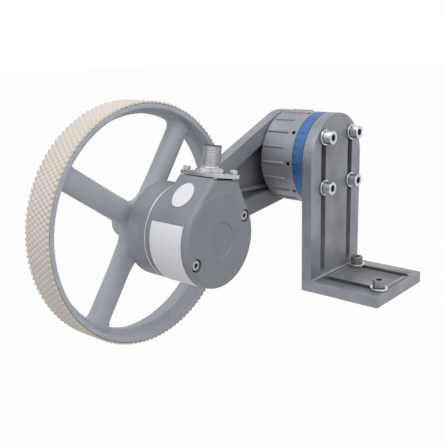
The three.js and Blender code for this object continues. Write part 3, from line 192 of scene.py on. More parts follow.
class EncoderSizes(bpy.types.PropertyGroup):
    """The encoder's cover and labels."""

    lean: degrees("Lean", 11.2, "How far the encoder is turned")
    radius: length("Radius", 30, "Of the round body")
    face: length("Face", 26.5, "The cover's front face, along Y")
    end: length("End", 60.6, "The cover's rear rim, along Y")
    wall: length("Wall", 2.7, "Of the cover")
    edge: length("Edge radius", 2.6, "Round the face")
    hump_height: length("Hump height", 36, "Above the shaft")
    hump_width: length("Hump half-width", 11.3, "At the connector's seat")
    hump_length: length("Hump length", 28.8, "Along the shaft")
    hump_step: length("Hump step", 0.5, "How far the hump's face stands back")
    disc_radius: length("Disc radius", 11, "Of the shallow round panel")
    disc_depth: length("Disc depth", 0.9, "Of the shallow round panel")
    screw_circle: length("Screw circle", 24.6, "Radius of the cover's screws")
    screw_left: degrees("Left screw", 215.8, "Where the left screw is")
    screw_right: degrees("Right screw", 35.8, "Where the right screw is")
    recess_radius: length("Recess radius", 4, "Round a cover screw")
    recess_depth: length("Recess depth", 3, "Round a cover screw")
    label_start: degrees("Label start", 165, "Where the long label begins")
    label_end: degrees("Label end", 262, "Where the long label ends")
    label_front: length("Label front", 31.2, "The long label's front edge, along Y")
    label_width: length("Label width", 25.4, "Of the long label")
    oval_length: length("Oval half-length", 8.6, "Of the oval label")
    oval_width: length("Oval half-width", 7, "Of the oval label")
    oval_from_face: length("Oval from face", 16.4, "From the face to the oval's centre")
    oval_below: length("Oval below seat", 11.4, "From the connector's seat to the oval's centre")


class ConnectorSizes(bpy.types.PropertyGroup):
    """The connector on the hump."""

    half_width: length("Plate half-width", 11.2, "Across the hump")
    half_length: length("Plate half-length", 14.4, "Along the hump")
    corner: length("Plate corner", 0.9, "Radius of the plate's corners")
    low: length("Plate underside", 36.4, "Above the shaft")
    plate: length("Plate thickness", 2.6, "Of the plate")
    collar_radius: length("Collar radius", 9.1, "At the tube's foot")
    collar_height: length("Collar height", 2.6, "Above the plate")
    tube_radius: length("Tube radius", 5.6, "Of the threaded tube")
    tube_bore: length("Tube bore", 4.7, "Of the threaded tube")
    height: length("Height", 19, "From the plate's underside to the tube's rim")
    pitch: length("Thread pitch", 1, "Of the tube's thread")
    screw_x: length("Screw across", 8.5, "From the middle to a screw")
    screw_y: length("Screw along", 11.4, "From the middle to a screw")


class WheelSizes(bpy.types.PropertyGroup):
    """The measuring wheel and its tread."""

    radius: length("Radius", 79.58, "For a circumference of half a metre")
    start: length("Start", 87.4, "The wheel's front face, along Y")
    width: length("Width", 22.9, "Of the wheel")
    tread: length("Tread thickness", 1.4, "Of the tread")
    nub_depth: length("Nub depth", 1, "How deep the hollows between the nubs are")
    nub_count: number("Nubs", 136, "Round the wheel in one row", 30, 300)
    nub_rows: number("Nub rows", 8, "Across the wheel", 2, 20)
    nub_spacing: length("Nub row spacing", 2.8, "Between two rows of nubs")
    rim_wall: length("Rim wall", 3.2, "Of the rim")
    ridge: length("Ridge height", 3.5, "Inside the rim")
    ridge_top: length("Ridge top", 5, "Width of the ridge")
    ridge_foot: length("Ridge foot", 12, "Width of the ridge")
    spoke_count: number("Spokes", 4, "Of the wheel", 2, 12)
    spoke_phase: degrees("Spoke phase", 55, "Where the first spoke is")
    spoke_width: length("Spoke half-width", 7.8, "Of a spoke")
    spoke_depth: length("Spoke half-depth", 5.8, "Of a spoke")
    web_fillet: length("Web fillet", 12, "Between two spokes at the hub")
    web_front: length("Web front", 8.8, "From the wheel's middle to the front of the hub between the spokes")
    web_rear: length("Web rear", 6.2, "From the wheel's middle to the rear of the hub between the spokes")
    boss_front: length("Front boss start", 79.2, "Front of the front boss, along Y")
    boss_radius: length("Front boss radius", 15, "Of the front boss")
    rear_radius: length("Rear boss radius", 11.5, "Of the rear boss")
    rear_proud: length("Rear boss length", 2.7, "Behind the rim")
    bore: length("Bore", 5.3, "For the shaft")


class FinishColours(bpy.types.PropertyGroup):
    """Base colours of the finishes."""

    blasted: colour("Blasted aluminium", 0x93959C, "Bracket, drum and arm")
    paint: colour("Wheel paint", 0xADB0B8, "Cast wheel")
    coat: colour("Cover coat", 0x82848B, "Encoder cover")
    blue: colour("Blue anodising", 0x3F6AA2, "Scale ring")
    mark: colour("Scale marks", 0x16202E, "Lines on the scale ring")
    zinc: colour("Zinc", 0xCFD2D4, "Screws and washers")
    nickel: colour("Nickel", 0xC0C1C5, "Connector")
    bronze: colour("Bronze", 0xA8794A, "Bushes and contacts")
    steel: colour("Steel", 0xA9ABAE, "Shafts, bearings and spring")
    tread: colour("Tread", 0xCEC6BD, "Nubs of the tread")
    # Painted shade: the hollows between the nubs are coloured darker than the tops.
    hollow: colour("Tread hollows", 0xC8BEB3, "Between the nubs")
    label: colour("Label", 0xDCDCE1, "Bare labels")
    plastic: colour("Black plastic", 0x202124, "Inserts and seals")
    board: colour("Board", 0x1F5C3A, "Circuit board")
    glass: colour("Disc glass", 0x9AA4AC, "Code disc")
    # Painted highlight along the cup's lip and the drum's rear chamfer.
    bare: colour("Bare aluminium", 0xC8CACE, "The cup's turned lip")
    # Painted shadow: the mounting flange is coloured near-black, as it lies in shade behind the slots.
    dark: colour("Dark aluminium", 0x35363B, "Behind the slots")
    burnished: colour("Burnished steel", 0x8E8C8D, "The base's screws")


class StageSettings(bpy.types.PropertyGroup):
    """Camera, lamps and floor."""

    lens: FloatProperty(
        name="Focal length", description="On a sensor 36 mm wide", default=55.12, unit="CAMERA")
    azimuth: degrees("Azimuth", -49.09, "Of the camera")
    elevation: degrees("Elevation", 14.72, "Of the camera")
    roll: degrees("Roll", -1.57, "Of the camera")
    floor: colour("Floor", 0xC4C4C4, "The plain floor")
    floor_drop: length("Floor drop", 53, "Below the wheel at rest, for the drum's lowest setting")


GROUPS = {
    "wheel_bracket": BracketSizes,
    "wheel_screws": ScrewSizes,
    "wheel_drum": DrumSizes,
    "wheel_arm": ArmSizes,
    "wheel_encoder": EncoderSizes,
    "wheel_connector": ConnectorSizes,
    "wheel_wheel": WheelSizes,
    "wheel_colours": FinishColours,
    "wheel_stage": StageSettings,
}


# Shapes


def polar(radius, angle, x=0.0, z=0.0):
    """Points in a plane, at a distance from x, z and at an angle in radians."""
    return np.stack([x + radius * np.cos(angle), z + radius * np.sin(angle)], -1)


def circle(radius, x=0.0, z=0.0, sides=64):
    """A loop of points at one distance from x, z."""
    return polar(radius, TURN * np.arange(sides) / sides, x, z)


def arc(radius, start, end, steps, x=0.0, z=0.0):
    """Points at one distance from x, z, from one angle to another."""
    return polar(radius, np.linspace(start, end, steps + 1), x, z)


def rectangle(x, y, far_x, far_y):
    """The four corners, from x, y first along x and then along y."""
    return [(x, y), (far_x, y), (far_x, far_y), (x, far_y)]


def stadium(x, low, high, width, steps=12):
    """Two half circles one above the other, joined by straight sides."""
    upper = arc(width / 2, 0, math.pi, steps, x, high)
    return np.concatenate([upper, arc(width / 2, math.pi, TURN, steps, x, low)])


def rounded(points, radius, steps=5, closed=True):
    """The polygon with an arc at each corner: it starts and ends where a circle of the radius touches
    the corner's two sides, and its points turn evenly from one to the other."""
    points = np.asarray(points, float)
    radii = np.broadcast_to(radius, len(points))
    made = []
    for i, (point, r) in enumerate(zip(points, radii)):
        if r == 0 or (not closed and i in (0, len(points) - 1)):
            made.append(point[None])
            continue
        back, on = points[i - 1] - point, points[(i + 1) % len(points)] - point
        back, on = back / np.linalg.norm(back), on / np.linalg.norm(on)
        half = math.acos(np.clip(back @ on, -1, 1)) / 2
        centre = point + (back + on) / np.linalg.norm(back + on) * r / math.sin(half)
        first, last = point + back * r / math.tan(half) - centre, point + on * r / math.tan(half) - centre
        sweep = math.pi - 2 * half
        t = np.linspace(0, 1, steps + 1)[:, None]
        made.append(centre + (np.sin((1 - t) * sweep) * first + np.sin(t * sweep) * last) / math.sin(sweep))
    return np.concatenate(made)


def inset(loop, distance):
    """The anticlockwise loop moved inwards: each point goes along the bisector of its two sides'
    normals, far enough that both sides move by the distance."""
    side = np.roll(loop, -1, 0) - loop
    side /= np.linalg.norm(side, axis=1, keepdims=True)
    normal = np.stack([-side[:, 1], side[:, 0]], -1)
    before = np.roll(normal, 1, 0)
    return loop + distance * (normal + before) / (1 + (normal * before).sum(1, keepdims=True))


def level(loop, y):
    """The loop's points in space, at one distance along Y."""
    return np.stack([loop[:, 0], np.full(len(loop), y), loop[:, 1]], -1)


def quarter(start, end, edge_start, edge_end, steps=4):
    """(inset, y) stations of a wall: a quarter circle at its start, a straight run, and one at its end."""
    t = np.linspace(0, math.pi / 2, steps + 1)
    sign = math.copysign(1, end - start)
    first = np.stack([edge_start * (1 - np.sin(t)), start + sign * abs(edge_start) * (1 - np.cos(t))], -1)
    last = np.stack([edge_end * (1 - np.cos(t)), end - sign * abs(edge_end) * (1 - np.sin(t))], -1)
    return np.concatenate([first, last])


def round_y(radius, y, angle):
    """Points in space, at a distance from the Y axis and at an angle round it, each with its y."""
    radius, y, angle = np.broadcast_arrays(radius, y, angle)
    return np.stack([radius * np.cos(angle), y, radius * np.sin(angle)], -1)


def lathe(profile, sides=64, relief=None):
    """Each (radius, y) of the profile goes round Y; relief(angle, radius, y) is added to the radius."""
    profile = np.asarray(profile, float)
    angle = TURN * np.arange(sides)[None] / sides
    radius, y = profile[:, :1], profile[:, 1:]
    return round_y(radius + relief(angle, radius, y) if relief else radius, y, angle)


def smooth(x, low, high):
    """0 below low, 1 above high, and 3t^2 - 2t^3 between, where t is the share of the way."""
    t = np.clip((x - low) / (high - low), 0, 1)
    return t * t * (3 - 2 * t)


def shift(x, y, z):
    """A move along the three axes."""
    return Matrix.Translation((x, y, z))


def turned_to(x, z, angle):
    """The place of a frame that stands at x, z and is turned about Y."""
    return shift(x, 0, z) @ Matrix.Rotation(angle, 4, "Y")


SWAP_YZ = Matrix(((1, 0, 0, 0), (0, 0, 1, 0), (0, 1, 0, 0), (0, 0, 0, 1)))
SWAP_XY = Matrix(((0, 1, 0, 0), (1, 0, 0, 0), (0, 0, 1, 0), (0, 0, 0, 1)))


class Skin:
    """The grids and caps of one piece, gathered in the part's frame until its mesh is made. Each point
    also has a depth from 0, in the open, to 1, deep in a hollow, by which the finishes paint shade into
    the colour."""

    def __init__(self, place=None):
        self.place = place or Matrix.Identity(4)
        self.points, self.depths, self.faces, self.count = [], [], [], 0

    def add(self, points, faces, depth=0.0):
        """Takes in points, given in the skin's present place, and the faces between them."""
        place = np.array(self.place)
        points = np.asarray(points, float).reshape(-1, 3) @ place[:3, :3].T + place[:3, 3]
        self.faces += [[i + self.count for i in face] for face in faces]
        self.points.append(points)
        self.depths.append(np.broadcast_to(np.ravel(depth), len(points)))
        self.count += len(points)

    def grid(self, rows, around=True, closed=False, depth=0.0):
        """Quads between neighbouring rows of points. around joins each row's ends, and closed joins the
        last row to the first."""
        index = np.arange(rows.shape[0] * rows.shape[1]).reshape(rows.shape[:2])
        index = np.vstack([index, index[:1]]) if closed else index
        index = np.hstack([index, index[:, :1]]) if around else index
        quads = np.stack([index[:-1, :-1], index[:-1, 1:], index[1:, 1:], index[1:, :-1]], -1)
        self.add(rows, quads.reshape(-1, 4).tolist(), depth)

    def wall(self, loop, stations, sign=1, depth=0.0):
        """The loop carried along (inset, y) stations. sign -1 is for a hole, which grows where a plate
        shrinks."""
        rows = [level(inset(loop, sign * distance), y) for distance, y in stations]
        self.grid(np.stack(rows), depth=depth)

    def cap(self, loops, y):
        """A flat face at one y: inside the first loop and outside the others."""
        flat = [Vector(point) for loop in loops for point in loop]
        edges, first = [], 0
        for loop in loops:
            edges += [(first + i, first + (i + 1) % len(loop)) for i in range(len(loop))]
            first += len(loop)
        points, _, triangles, *_ = delaunay_2d_cdt(flat, edges, [], 0, 1e-9)
        points = np.array(points)
        middle = points[np.array(triangles)].mean(1)
        inside = np.zeros(len(middle), bool)
        for loop in loops:
            x0, z0 = loop[:, 0], loop[:, 1]
            x1, z1 = np.roll(x0, -1), np.roll(z0, -1)
            x, z = middle[:, :1], middle[:, 1:]
            crosses = (z0 > z) != (z1 > z)
            rise = np.where(z1 == z0, 1, z1 - z0)
            inside ^= (crosses & (x < x0 + (z - z0) / rise * (x1 - x0))).sum(1) % 2 == 1
        self.add(level(points, y), [t for t, keep in zip(triangles, inside) if keep])

    def plate(self, outline, holes, front, rear, edge, hole_edge=0.15 * MM, hole_depth=0.22):
        """A plate between two values of y, with rounded edges, and holes through it. hole_depth is the
        painted shade that the finish puts on their walls."""
        self.wall(outline, quarter(front, rear, edge, edge))
        for hole in holes:
            self.wall(hole, quarter(front, rear, hole_edge, hole_edge), -1, hole_depth)
        for y in (front, rear):
            self.cap([inset(outline, edge)] + [inset(hole, -hole_edge) for hole in holes], y)

    def hollow(self, loop, face, floor, rim, foot, holes=()):
        """A pocket: its wall from a rounded rim down to a rounded foot, and its floor. Returns the loop
        that the face around it leaves out."""
        self.wall(loop, quarter(face, floor, -rim, foot))
        self.cap([inset(loop, foot), *holes], floor)
        return inset(loop, -rim)

    def mesh(self, name):
        """One mesh of all that was added, its doubles merged and its faces turned outwards."""
        mesh = bpy.data.meshes.new(name)
        mesh.from_pydata(np.concatenate(self.points), [], self.faces)
        # The depth attribute carries each point's painted shade to the finishes.
        depths = mesh.attributes.new("depth", "FLOAT", "POINT")
        depths.data.foreach_set("value", np.concatenate(self.depths))
        work = bmesh.new()
        work.from_mesh(mesh)
        bmesh.ops.remove_doubles(work, verts=work.verts, dist=2e-7)
        bmesh.ops.recalc_face_normals(work, faces=work.faces)
        work.to_mesh(mesh)
        work.free()
        return mesh

    def include(self, mesh):
        """Takes in the points and faces of a mesh that was made before."""
        self.add([v.co for v in mesh.vertices], [list(p.vertices) for p in mesh.polygons])

    def piece(self, node, finish, sharp=32):
        """The finished object: it stands for the CAD node, rides on its body and has its finish."""
        obj = bpy.data.objects.new(node + "_form", self.mesh(node + "_form"))
        bpy.context.scene.collection.objects.link(obj)
        obj.data.materials.append(finish)
        obj.data.shade_smooth()
        obj.data.set_sharp_from_angle(angle=math.radians(sharp))
        even = obj.modifiers.new("even_shading", "WEIGHTED_NORMAL")
        even.keep_sharp = True
        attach(obj, BODY_OF[node])
        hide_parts(node)


def carved(skin, cutters):
    """The skin's mesh with closed cutters taken out of it."""
    objects = [bpy.data.objects.new("cut", s.mesh("cut")) for s in [skin, *cutters]]
    for obj in objects:
        bpy.context.scene.collection.objects.link(obj)
    for cutter in objects[1:]:
        cut = objects[0].modifiers.new("cut", "BOOLEAN")
        cut.operation, cut.solver, cut.object = "DIFFERENCE", "EXACT", cutter
    ready = objects[0].evaluated_get(bpy.context.evaluated_depsgraph_get())
    mesh = bpy.data.meshes.new_from_object(ready)
    for obj in objects:
        bpy.data.objects.remove(obj)
    return mesh


def socket_screw(skin, head, height, flats, depth, shank, reach, pitch=0.0, chamfer=0.4 * MM):
    """A screw round Y, its head towards -Y and the head's underside at 0. One profile goes round: key
    socket, head and shank. In the socket the radius is half the flats over the cosine of the angle from
    the nearest flat's middle. Along the shank a triangle wave that advances one pitch a turn is taken
    off."""
    sides = 48
    plain, keyed, threaded = range(3)
    angle = TURN * np.arange(sides)[None] / sides
    key, mouth, rim, tip = flats / 2, 0.25 * MM, 0.2 * MM, 0.3 * MM
    shank_y = np.arange(0, reach, pitch / 4) if pitch else np.array([0, reach - tip])
    points = [
        (0, depth - height + 0.4 * key, plain), (key, depth - height, keyed), (key, mouth - height, keyed),
        (1.2 * key + 0.1 * MM, -height, plain), (head - chamfer, -height, plain),
        (head - 0.3 * chamfer, 0.3 * chamfer - height, plain), (head, chamfer - height, plain),
        (head, -rim, plain), (head - rim, 0, plain),
    ] + [(shank, y, threaded) for y in shank_y] + [(shank - tip, reach, plain), (0, reach, plain)]
    radius, y, kind = np.array(points).T[:, :, None]
    # Painted shade in the key socket: its floor is darkened by 0.85 and its mouth by 0.35.
    socket_depths = [0.85, 0.85, 0.35]
    depths = np.array(socket_depths + [0.0] * (len(points) - len(socket_depths)))
    flat_angle = (angle + math.pi / 6) % (math.pi / 3) - math.pi / 6
    radius = np.where(kind == keyed, radius / np.cos(flat_angle), radius)
    if pitch:
        wave = np.abs((y / pitch - angle / TURN) % 1 - 0.5) * 2
        groove = 0.45 * pitch * wave * smooth(y, 0, 2 * pitch)
        radius = radius - np.where(kind == threaded, groove, 0)
    skin.grid(round_y(radius, y, angle), depth=np.repeat(depths, sides))


def washer(skin, outer, inner, thickness):
    """A flat ring from y = -thickness to 0, with rounded outer edges."""
    edges = np.array([0, 0.25, 0.35, 0.1]) * MM
    skin.grid(lathe(rounded(rectangle(inner, 0, outer, -thickness), edges, 3)), closed=True)


# Finishes


class Value:
    """A shader socket in arithmetic: each operator on it adds the Math node of that operation."""

    def __init__(self, nodes, socket):
        self.nodes, self.socket = nodes, socket

    def __add__(self, other):
        return self.nodes.maths("ADD", self, other)

    __radd__ = __add__

    def __sub__(self, other):
        return self.nodes.maths("SUBTRACT", self, other)

    def __rsub__(self, other):
        return self.nodes.maths("SUBTRACT", other, self)

    def __mul__(self, other):
        return self.nodes.maths("MULTIPLY", self, other)

    __rmul__ = __mul__

    def __mod__(self, other):
        return self.nodes.maths("FLOORED_MODULO", self, other)

    def __pow__(self, other):
        return self.nodes.maths("POWER", self, other)

    def __abs__(self):
        return self.nodes.maths("ABSOLUTE", self)

    def output(self, name):
        """Another output of the node that this one comes from."""
        return Value(self.nodes, self.socket.node.outputs[name])


class Nodes:
    """The node tree of a material or a world, cleared at first."""

    def __init__(self, owner):
        owner.use_nodes = True
        self.tree = owner.node_tree
        self.tree.nodes.clear()

    def node(self, kind, settings=None, inputs=None, output=0):
        """Adds a node: first its settings, then the value or the link of each of its sockets."""
        node = self.tree.nodes.new(kind)
        for name, value in (settings or {}).items():
            setattr(node, name, value)
        for name, value in (inputs or {}).items():
            self.put(node, name, value)
        return Value(self, node.outputs[output]) if len(node.outputs) else None

    def put(self, node, name, value):
        """Links a socket to a Value, or sets it to a number, a vector or a colour."""
        if isinstance(value, Value):
            self.tree.links.new(value.socket, node.inputs[name])
        else:
            node.inputs[name].default_value = (*value, 1) if isinstance(value, tuple) else value

    def maths(self, operation, *values):
        """A Math node of the operation on the values."""
        return self.node("ShaderNodeMath", {"operation": operation}, dict(enumerate(values)))


class Finish(Nodes):
    """A node material on Object coordinates, with one Principled shader."""

    def __init__(self, name, **constants):
        self.material = bpy.data.materials.new(name)
        super().__init__(self.material)
        self.shader = self.node("ShaderNodeBsdfPrincipled", inputs=constants)
        self.end = self.tree.nodes.new("ShaderNodeOutputMaterial")
        self.put(self.end, "Surface", self.shader)
        self.place = self.node("ShaderNodeTexCoord", output="Object")

    def set(self, **inputs):
        """Feeds the Principled shader's sockets, with _ for a space in their names."""
        for name, value in inputs.items():
            self.put(self.shader.socket.node, name.replace("_", " "), value)

    def colour(self):
        """What feeds the base colour so far."""
        return Value(self, self.shader.socket.node.inputs["Base Color"].links[0].from_socket)

    def noise(self, scale, detail=2.0, stretch=(1, 1, 1), roughness=0.5):
        """Cloudy noise from 0 to 1, with scale in waves per metre and stretch along each axis."""
        place = self.node("ShaderNodeMapping", {}, {"Vector": self.place, "Scale": Vector(stretch)})
        return self.node("ShaderNodeTexNoise", {}, {
            "Vector": place, "Scale": scale, "Detail": detail, "Roughness": roughness})

    def between(self, value, low, high, start=0.0, end=1.0):
        """The value's range from low to high, eased into start to end."""
        return self.node("ShaderNodeMapRange", {"interpolation_type": "SMOOTHSTEP"}, {
            "Value": value, "From Min": low, "From Max": high, "To Min": start, "To Max": end})

    def within(self, value, low, high, fade):
        """1 from low to high and 0 outside, with both ends eased over twice the fade."""
        after = self.between(value, low - fade, low + fade)
        return after * self.between(value, high - fade, high + fade, 1, 0)

    def mixed(self, share, first, second):
        """One colour turning into another."""
        return self.node("ShaderNodeMix", {"data_type": "RGBA"}, {0: share, 6: first, 7: second}, output=2)

    def bump(self, height, strength, distance):
        """Raises the surface by a height, in its normal only."""
        self.set(Normal=self.node("ShaderNodeBump", {}, {
            "Height": height, "Strength": strength, "Distance": distance}))

    def split(self, x=0.0, z=0.0):
        """Distance from an axis along Y, the angle round it and Y itself."""
        parts = self.node("ShaderNodeSeparateXYZ", {}, {0: self.place})
        across, up = parts - x, parts.output("Z") - z
        return (across * across + up * up) ** 0.5, self.maths("ARCTAN2", up, across), parts.output("Y")


def shade(base, factor):
    """A colour made lighter or darker."""
    return tuple(min(1.0, c * factor) for c in base)


def metal_finish(name, base, metallic, roughness, grain, relief, cloud, contrast, stretch=(1, 1, 1)):
    """Metal, paint or plastic: clouds in the colour and the roughness, a fine grain in the normal, which
    may be drawn out as brush marks, and painted shade in its hollows, by the points' depth."""
    finish = Finish(name, Metallic=metallic)
    clouds = finish.noise(cloud, 3)
    fine = finish.noise(grain, 2, stretch, 0.6)
    share = finish.between(clouds * 0.7 + fine * 0.3, 0.35, 0.65)
    # Painted shade: the colour darkens towards 6% of the base as the depth attribute rises.
    depth = finish.node("ShaderNodeAttribute", {"attribute_name": "depth"}, output="Fac")
    surface = finish.mixed(share, shade(base, 1 - contrast), shade(base, 1 + contrast))
    finish.set(
        Base_Color=finish.mixed(depth, surface, shade(base, 0.06)),
        Roughness=roughness - 0.05 + 0.1 * fine + 0.05 * clouds + 0.3 * depth,
    )
    finish.bump(fine, 0.5, relief)
    return finish


# Of each finish: the material's name, its base colour, metallic, roughness, grain in waves per metre,
# relief in metres, clouds in waves per metre, their contrast, and how the grain is stretched.
SURFACES = {
    "blasted": ("blasted_aluminium", "blasted", 0.6, 0.46, 3200, 0.00004, 60, 0.1),
    "brushed": ("brushed_aluminium", "blasted", 0.6, 0.44, 1400, 0.00005, 60, 0.14, (1, 0.06, 0.06)),
    "burnished": ("burnished_steel", "burnished", 0.9, 0.36, 1500, 0.00002, 200, 0.1),
    "dark": ("dark_aluminium", "dark", 0.3, 0.5, 3000, 0.00003, 60, 0.1),
    "paint": ("silver_paint", "paint", 0.15, 0.58, 1500, 0.00003, 45, 0.05),
    "coat": ("grey_coat", "coat", 0.2, 0.48, 2400, 0.00004, 70, 0.05),
    "blue": ("blue_anodising", "blue", 0.45, 0.42, 2600, 0.00003, 60, 0.06),
    "zinc": ("zinc_plate", "zinc", 0.95, 0.27, 2000, 0.00002, 220, 0.1),
    "nickel": ("nickel_plate", "nickel", 1.0, 0.22, 1500, 0.00001, 180, 0.08),
    "bronze": ("bronze", "bronze", 1.0, 0.35, 1800, 0.00002, 200, 0.1),
    "steel": ("ground_steel", "steel", 1.0, 0.3, 2200, 0.00002, 160, 0.08),
    "plastic": ("black_plastic", "plastic", 0.0, 0.5, 1800, 0.00002, 140, 0.12),
    "board": ("circuit_board", "board", 0.0, 0.4, 600, 0.00002, 140, 0.12),
    "glass": ("disc_glass", "glass", 0.0, 0.12, 1800, 0.00002, 140, 0.04),
}


def surface_finish(colours, key, name=None):
    """The finish of a row of SURFACES, under the row's material name or another."""
    title, base, *numbers = SURFACES[key]
    return metal_finish(name or title, tuple(getattr(colours, base)), *numbers)


def painted_highlight_finish(name, colours, axis, radii, front, rear):
    """Blasted aluminium with a lighter colour, a painted highlight, and a smoother surface where a point's
    distance from the axis is between the two radii and its y is between front and rear."""
    finish = surface_finish(colours, "blasted", name)
    radius, _, y = finish.split(*axis)
    fade = 0.2 * MM
    # lip marks where the painted highlight goes.
    lip = finish.within(radius, *radii, fade) * finish.within(y, front, rear, fade)
    finish.set(
        Base_Color=finish.mixed(lip, finish.colour(), tuple(colours.bare)),
        Roughness=0.5 - 0.15 * lip,
    )
    return finish


def blue_finish(colours, sizes, pivot):
    """Blue anodising with engraved lines, every 10 degrees round the drum: a line's mask is 1 where the
    distance round to the nearest line's angle is under half its width, and y is past its end. Longer
    lines stand every 40 degrees."""
    finish = surface_finish(colours, "blue")
    _, angle, y = finish.split(0, pivot)
    turn = (angle - sizes.phase) * (180 / math.pi)
    step, long_step = 10, 40
    arc_of_degree = math.pi / 180 * sizes.radius
    nearest = abs((turn + step / 2) % step - step / 2) * arc_of_degree
    long_nearest = abs(turn % long_step - long_step / 2) * arc_of_degree
    edge = sizes.start + sizes.scale_length

    def line(distance, reach):
        """The mask of the lines that reach so far in from the ring's rear edge."""
        return finish.between(distance, 0.22 * MM, 0.34 * MM, 1, 0) * finish.between(
            y, edge - reach, edge - reach + 0.3 * MM)

    short, long = line(nearest, 3.3 * MM), line(long_nearest, 5.8 * MM)
    mask = finish.maths("MAXIMUM", short, long)
    finish.set(
        Base_Color=finish.mixed(mask, finish.colour(), tuple(colours.mark)),
        Metallic=0.45 - 0.4 * mask,
    )
    return finish


def tread_finish(colours, sizes, x, z):
    """Polyurethane whose colour darkens below the nubs' tops, a painted shade in the hollows, with a fine
    mottle.
    """
    finish = Finish("polyurethane", Metallic=0.0)
    finish.set(Specular_IOR_Level=0.35)
    radius, _, _ = finish.split(x, z)
    # top is 1 on the nubs and 0 in the hollows, which take the painted shade of the hollow colour.
    top = finish.between(radius, sizes.radius - sizes.nub_depth, sizes.radius - 0.3 * sizes.nub_depth)
    cloud = finish.noise(90, 3)
    mottle = finish.between(cloud, 0.35, 0.65, 0.0, 0.25)
    body = finish.mixed(mottle, tuple(colours.tread), shade(tuple(colours.hollow), 1.15))
    finish.set(
        Base_Color=finish.mixed(top, tuple(colours.hollow), body),
        Roughness=0.62 + 0.12 * cloud,
    )
    finish.bump(finish.noise(2200, 2), 0.4, 0.00004)
    return finish


def label_finish(colours):
    """Bare white foil: paper-white, with a faint streaked sheen painted into its colour, and in its
    roughness and bump.
    """
    finish = Finish("white_foil", Metallic=0.0)
    shimmer = finish.noise(420, 2, stretch=(1, 3, 1))
    finish.set(
        # Painted sheen: the colour streaks 5% darker along the shimmer.
        Base_Color=finish.mixed(
            finish.between(shimmer, 0.3, 0.7), shade(tuple(colours.label), 0.95), tuple(colours.label)),
        Roughness=0.38 + 0.12 * shimmer,
    )
    finish.bump(shimmer, 0.3, 0.00003)
    return finish


FINISHES = {}


def finish_of(name):
    """The finish of that name, drawn the first time that a piece asks for it."""
    if name in FINISHES:
        return FINISHES[name]
    scene = bpy.context.scene
    colours, arm, drum = scene.wheel_colours, scene.wheel_arm, scene.wheel_drum
    pivot = scene.wheel_bracket.pivot_height
    drum_end = drum.start + drum.scale_length + GAP + drum.grip_length
    makers = {
        # The arm's cup lip and the grip ring's rear chamfer get a painted highlight.
        "arm": lambda: painted_highlight_finish(
            "blasted_arm", colours, axle(), (arm.cup_bore, arm.cup_radius + MM),
            arm.cup_front - MM, arm.cup_front + 0.5 * MM),
        "grip": lambda: painted_highlight_finish(
            "blasted_grip", colours, (0, pivot), (drum.radius - 1.2 * MM, drum.radius),
            drum_end - 0.7 * MM, drum_end + MM),
        "blue": lambda: blue_finish(colours, drum, pivot),
        "tread": lambda: tread_finish(colours, scene.wheel_wheel, *axle()),
        "label": lambda: label_finish(colours),
        "rubber": lambda: metal_finish(
            "seal_rubber", shade(tuple(colours.plastic), 0.8), 0.0, 0.7, 900, 0.00002, 140, 0.12),
    }
    finish = makers[name]() if name in makers else surface_finish(colours, name)
    FINISHES[name] = finish.material
    return FINISHES[name]


# Places


def pivot_place():
    """The arm's pivot, unturned."""
    return turned_to(0, bpy.context.scene.wheel_bracket.pivot_height, 0)


def arm_place():
    """The arm's pivot, with X along the arm."""
    return turned_to(0, bpy.context.scene.wheel_bracket.pivot_height, -bpy.context.scene.wheel_arm.drop)


def axle():
    """Where the wheel's shaft is, in x and z."""
    point = arm_place() @ Vector((-bpy.context.scene.wheel_arm.length, 0, 0))
    return point.x, point.z


def axle_place():
    """The wheel's shaft, unturned."""
    x, z = axle()
    return shift(x, 0, z)


def encoder_place():
    """The wheel's shaft, turned as the encoder stands."""
    return turned_to(*axle(), bpy.context.scene.wheel_encoder.lean)


def connector_place():
    """Y runs up along the connector, and Z along the shaft."""
    e = bpy.context.scene.wheel_encoder
    return encoder_place() @ shift(0, e.face + e.hump_length / 2, 0) @ SWAP_YZ


# Operators


class WHEEL_OT_bracket(bpy.types.Operator):
    """Build the L-shaped bracket with its slots and its bend"""

    bl_idname = "wheel.bracket"
    bl_label = "Bracket"

    def execute(self, context):
        s = context.scene.wheel_bracket
        half, back = s.width / 2, s.base_length / 2
        front = back - s.thickness

        def slots(spacing, low, high):
            """Two like slots, one on each side of the middle."""
            return [stadium(x, low, high, s.slot_width) for x in (-spacing / 2, spacing / 2)]

        skin = Skin()
        outline = np.concatenate([
            [(-half, 0), (half, 0)], arc(half, 0, math.pi, 96, 0, s.pivot_height)])
        skin.plate(outline, slots(s.slot_spacing, s.slot_low, s.slot_high), front, back, s.edge)
        # The base runs on into the plate and is a hundredth of a millimetre wider, so that the bracket's
        # side shows no seam.
        over = 0.01 * MM
        side, inner = half + over, back - 2 * s.edge
        base = rounded(rectangle(-side, -back, side, inner), [s.corner, s.corner, 0.1 * MM, 0.1 * MM])
        skin.place = SWAP_YZ
        # The base's slot walls get a deeper painted shade.
        skin.plate(
            base, slots(s.base_slot_spacing, s.base_slot_far, s.base_slot_near),
            -over, s.thickness, s.edge, hole_depth=0.6)
        sink, r = 0.4 * MM, s.fillet
        bend = np.concatenate([
            arc(r, 0, -math.pi / 2, 8, front - r, s.thickness + r),
            [(front - r, s.thickness - sink), (front + sink, s.thickness - sink),
             (front + sink, s.thickness + r)]])
        skin.place = SWAP_XY
        ends = half - s.edge
        skin.grid(np.stack([level(bend, -ends), level(bend, ends)]))
        for y in (-ends, ends):
            skin.cap([bend], y)
        skin.piece("bracket", finish_of("brushed"))
        return {"FINISHED"}


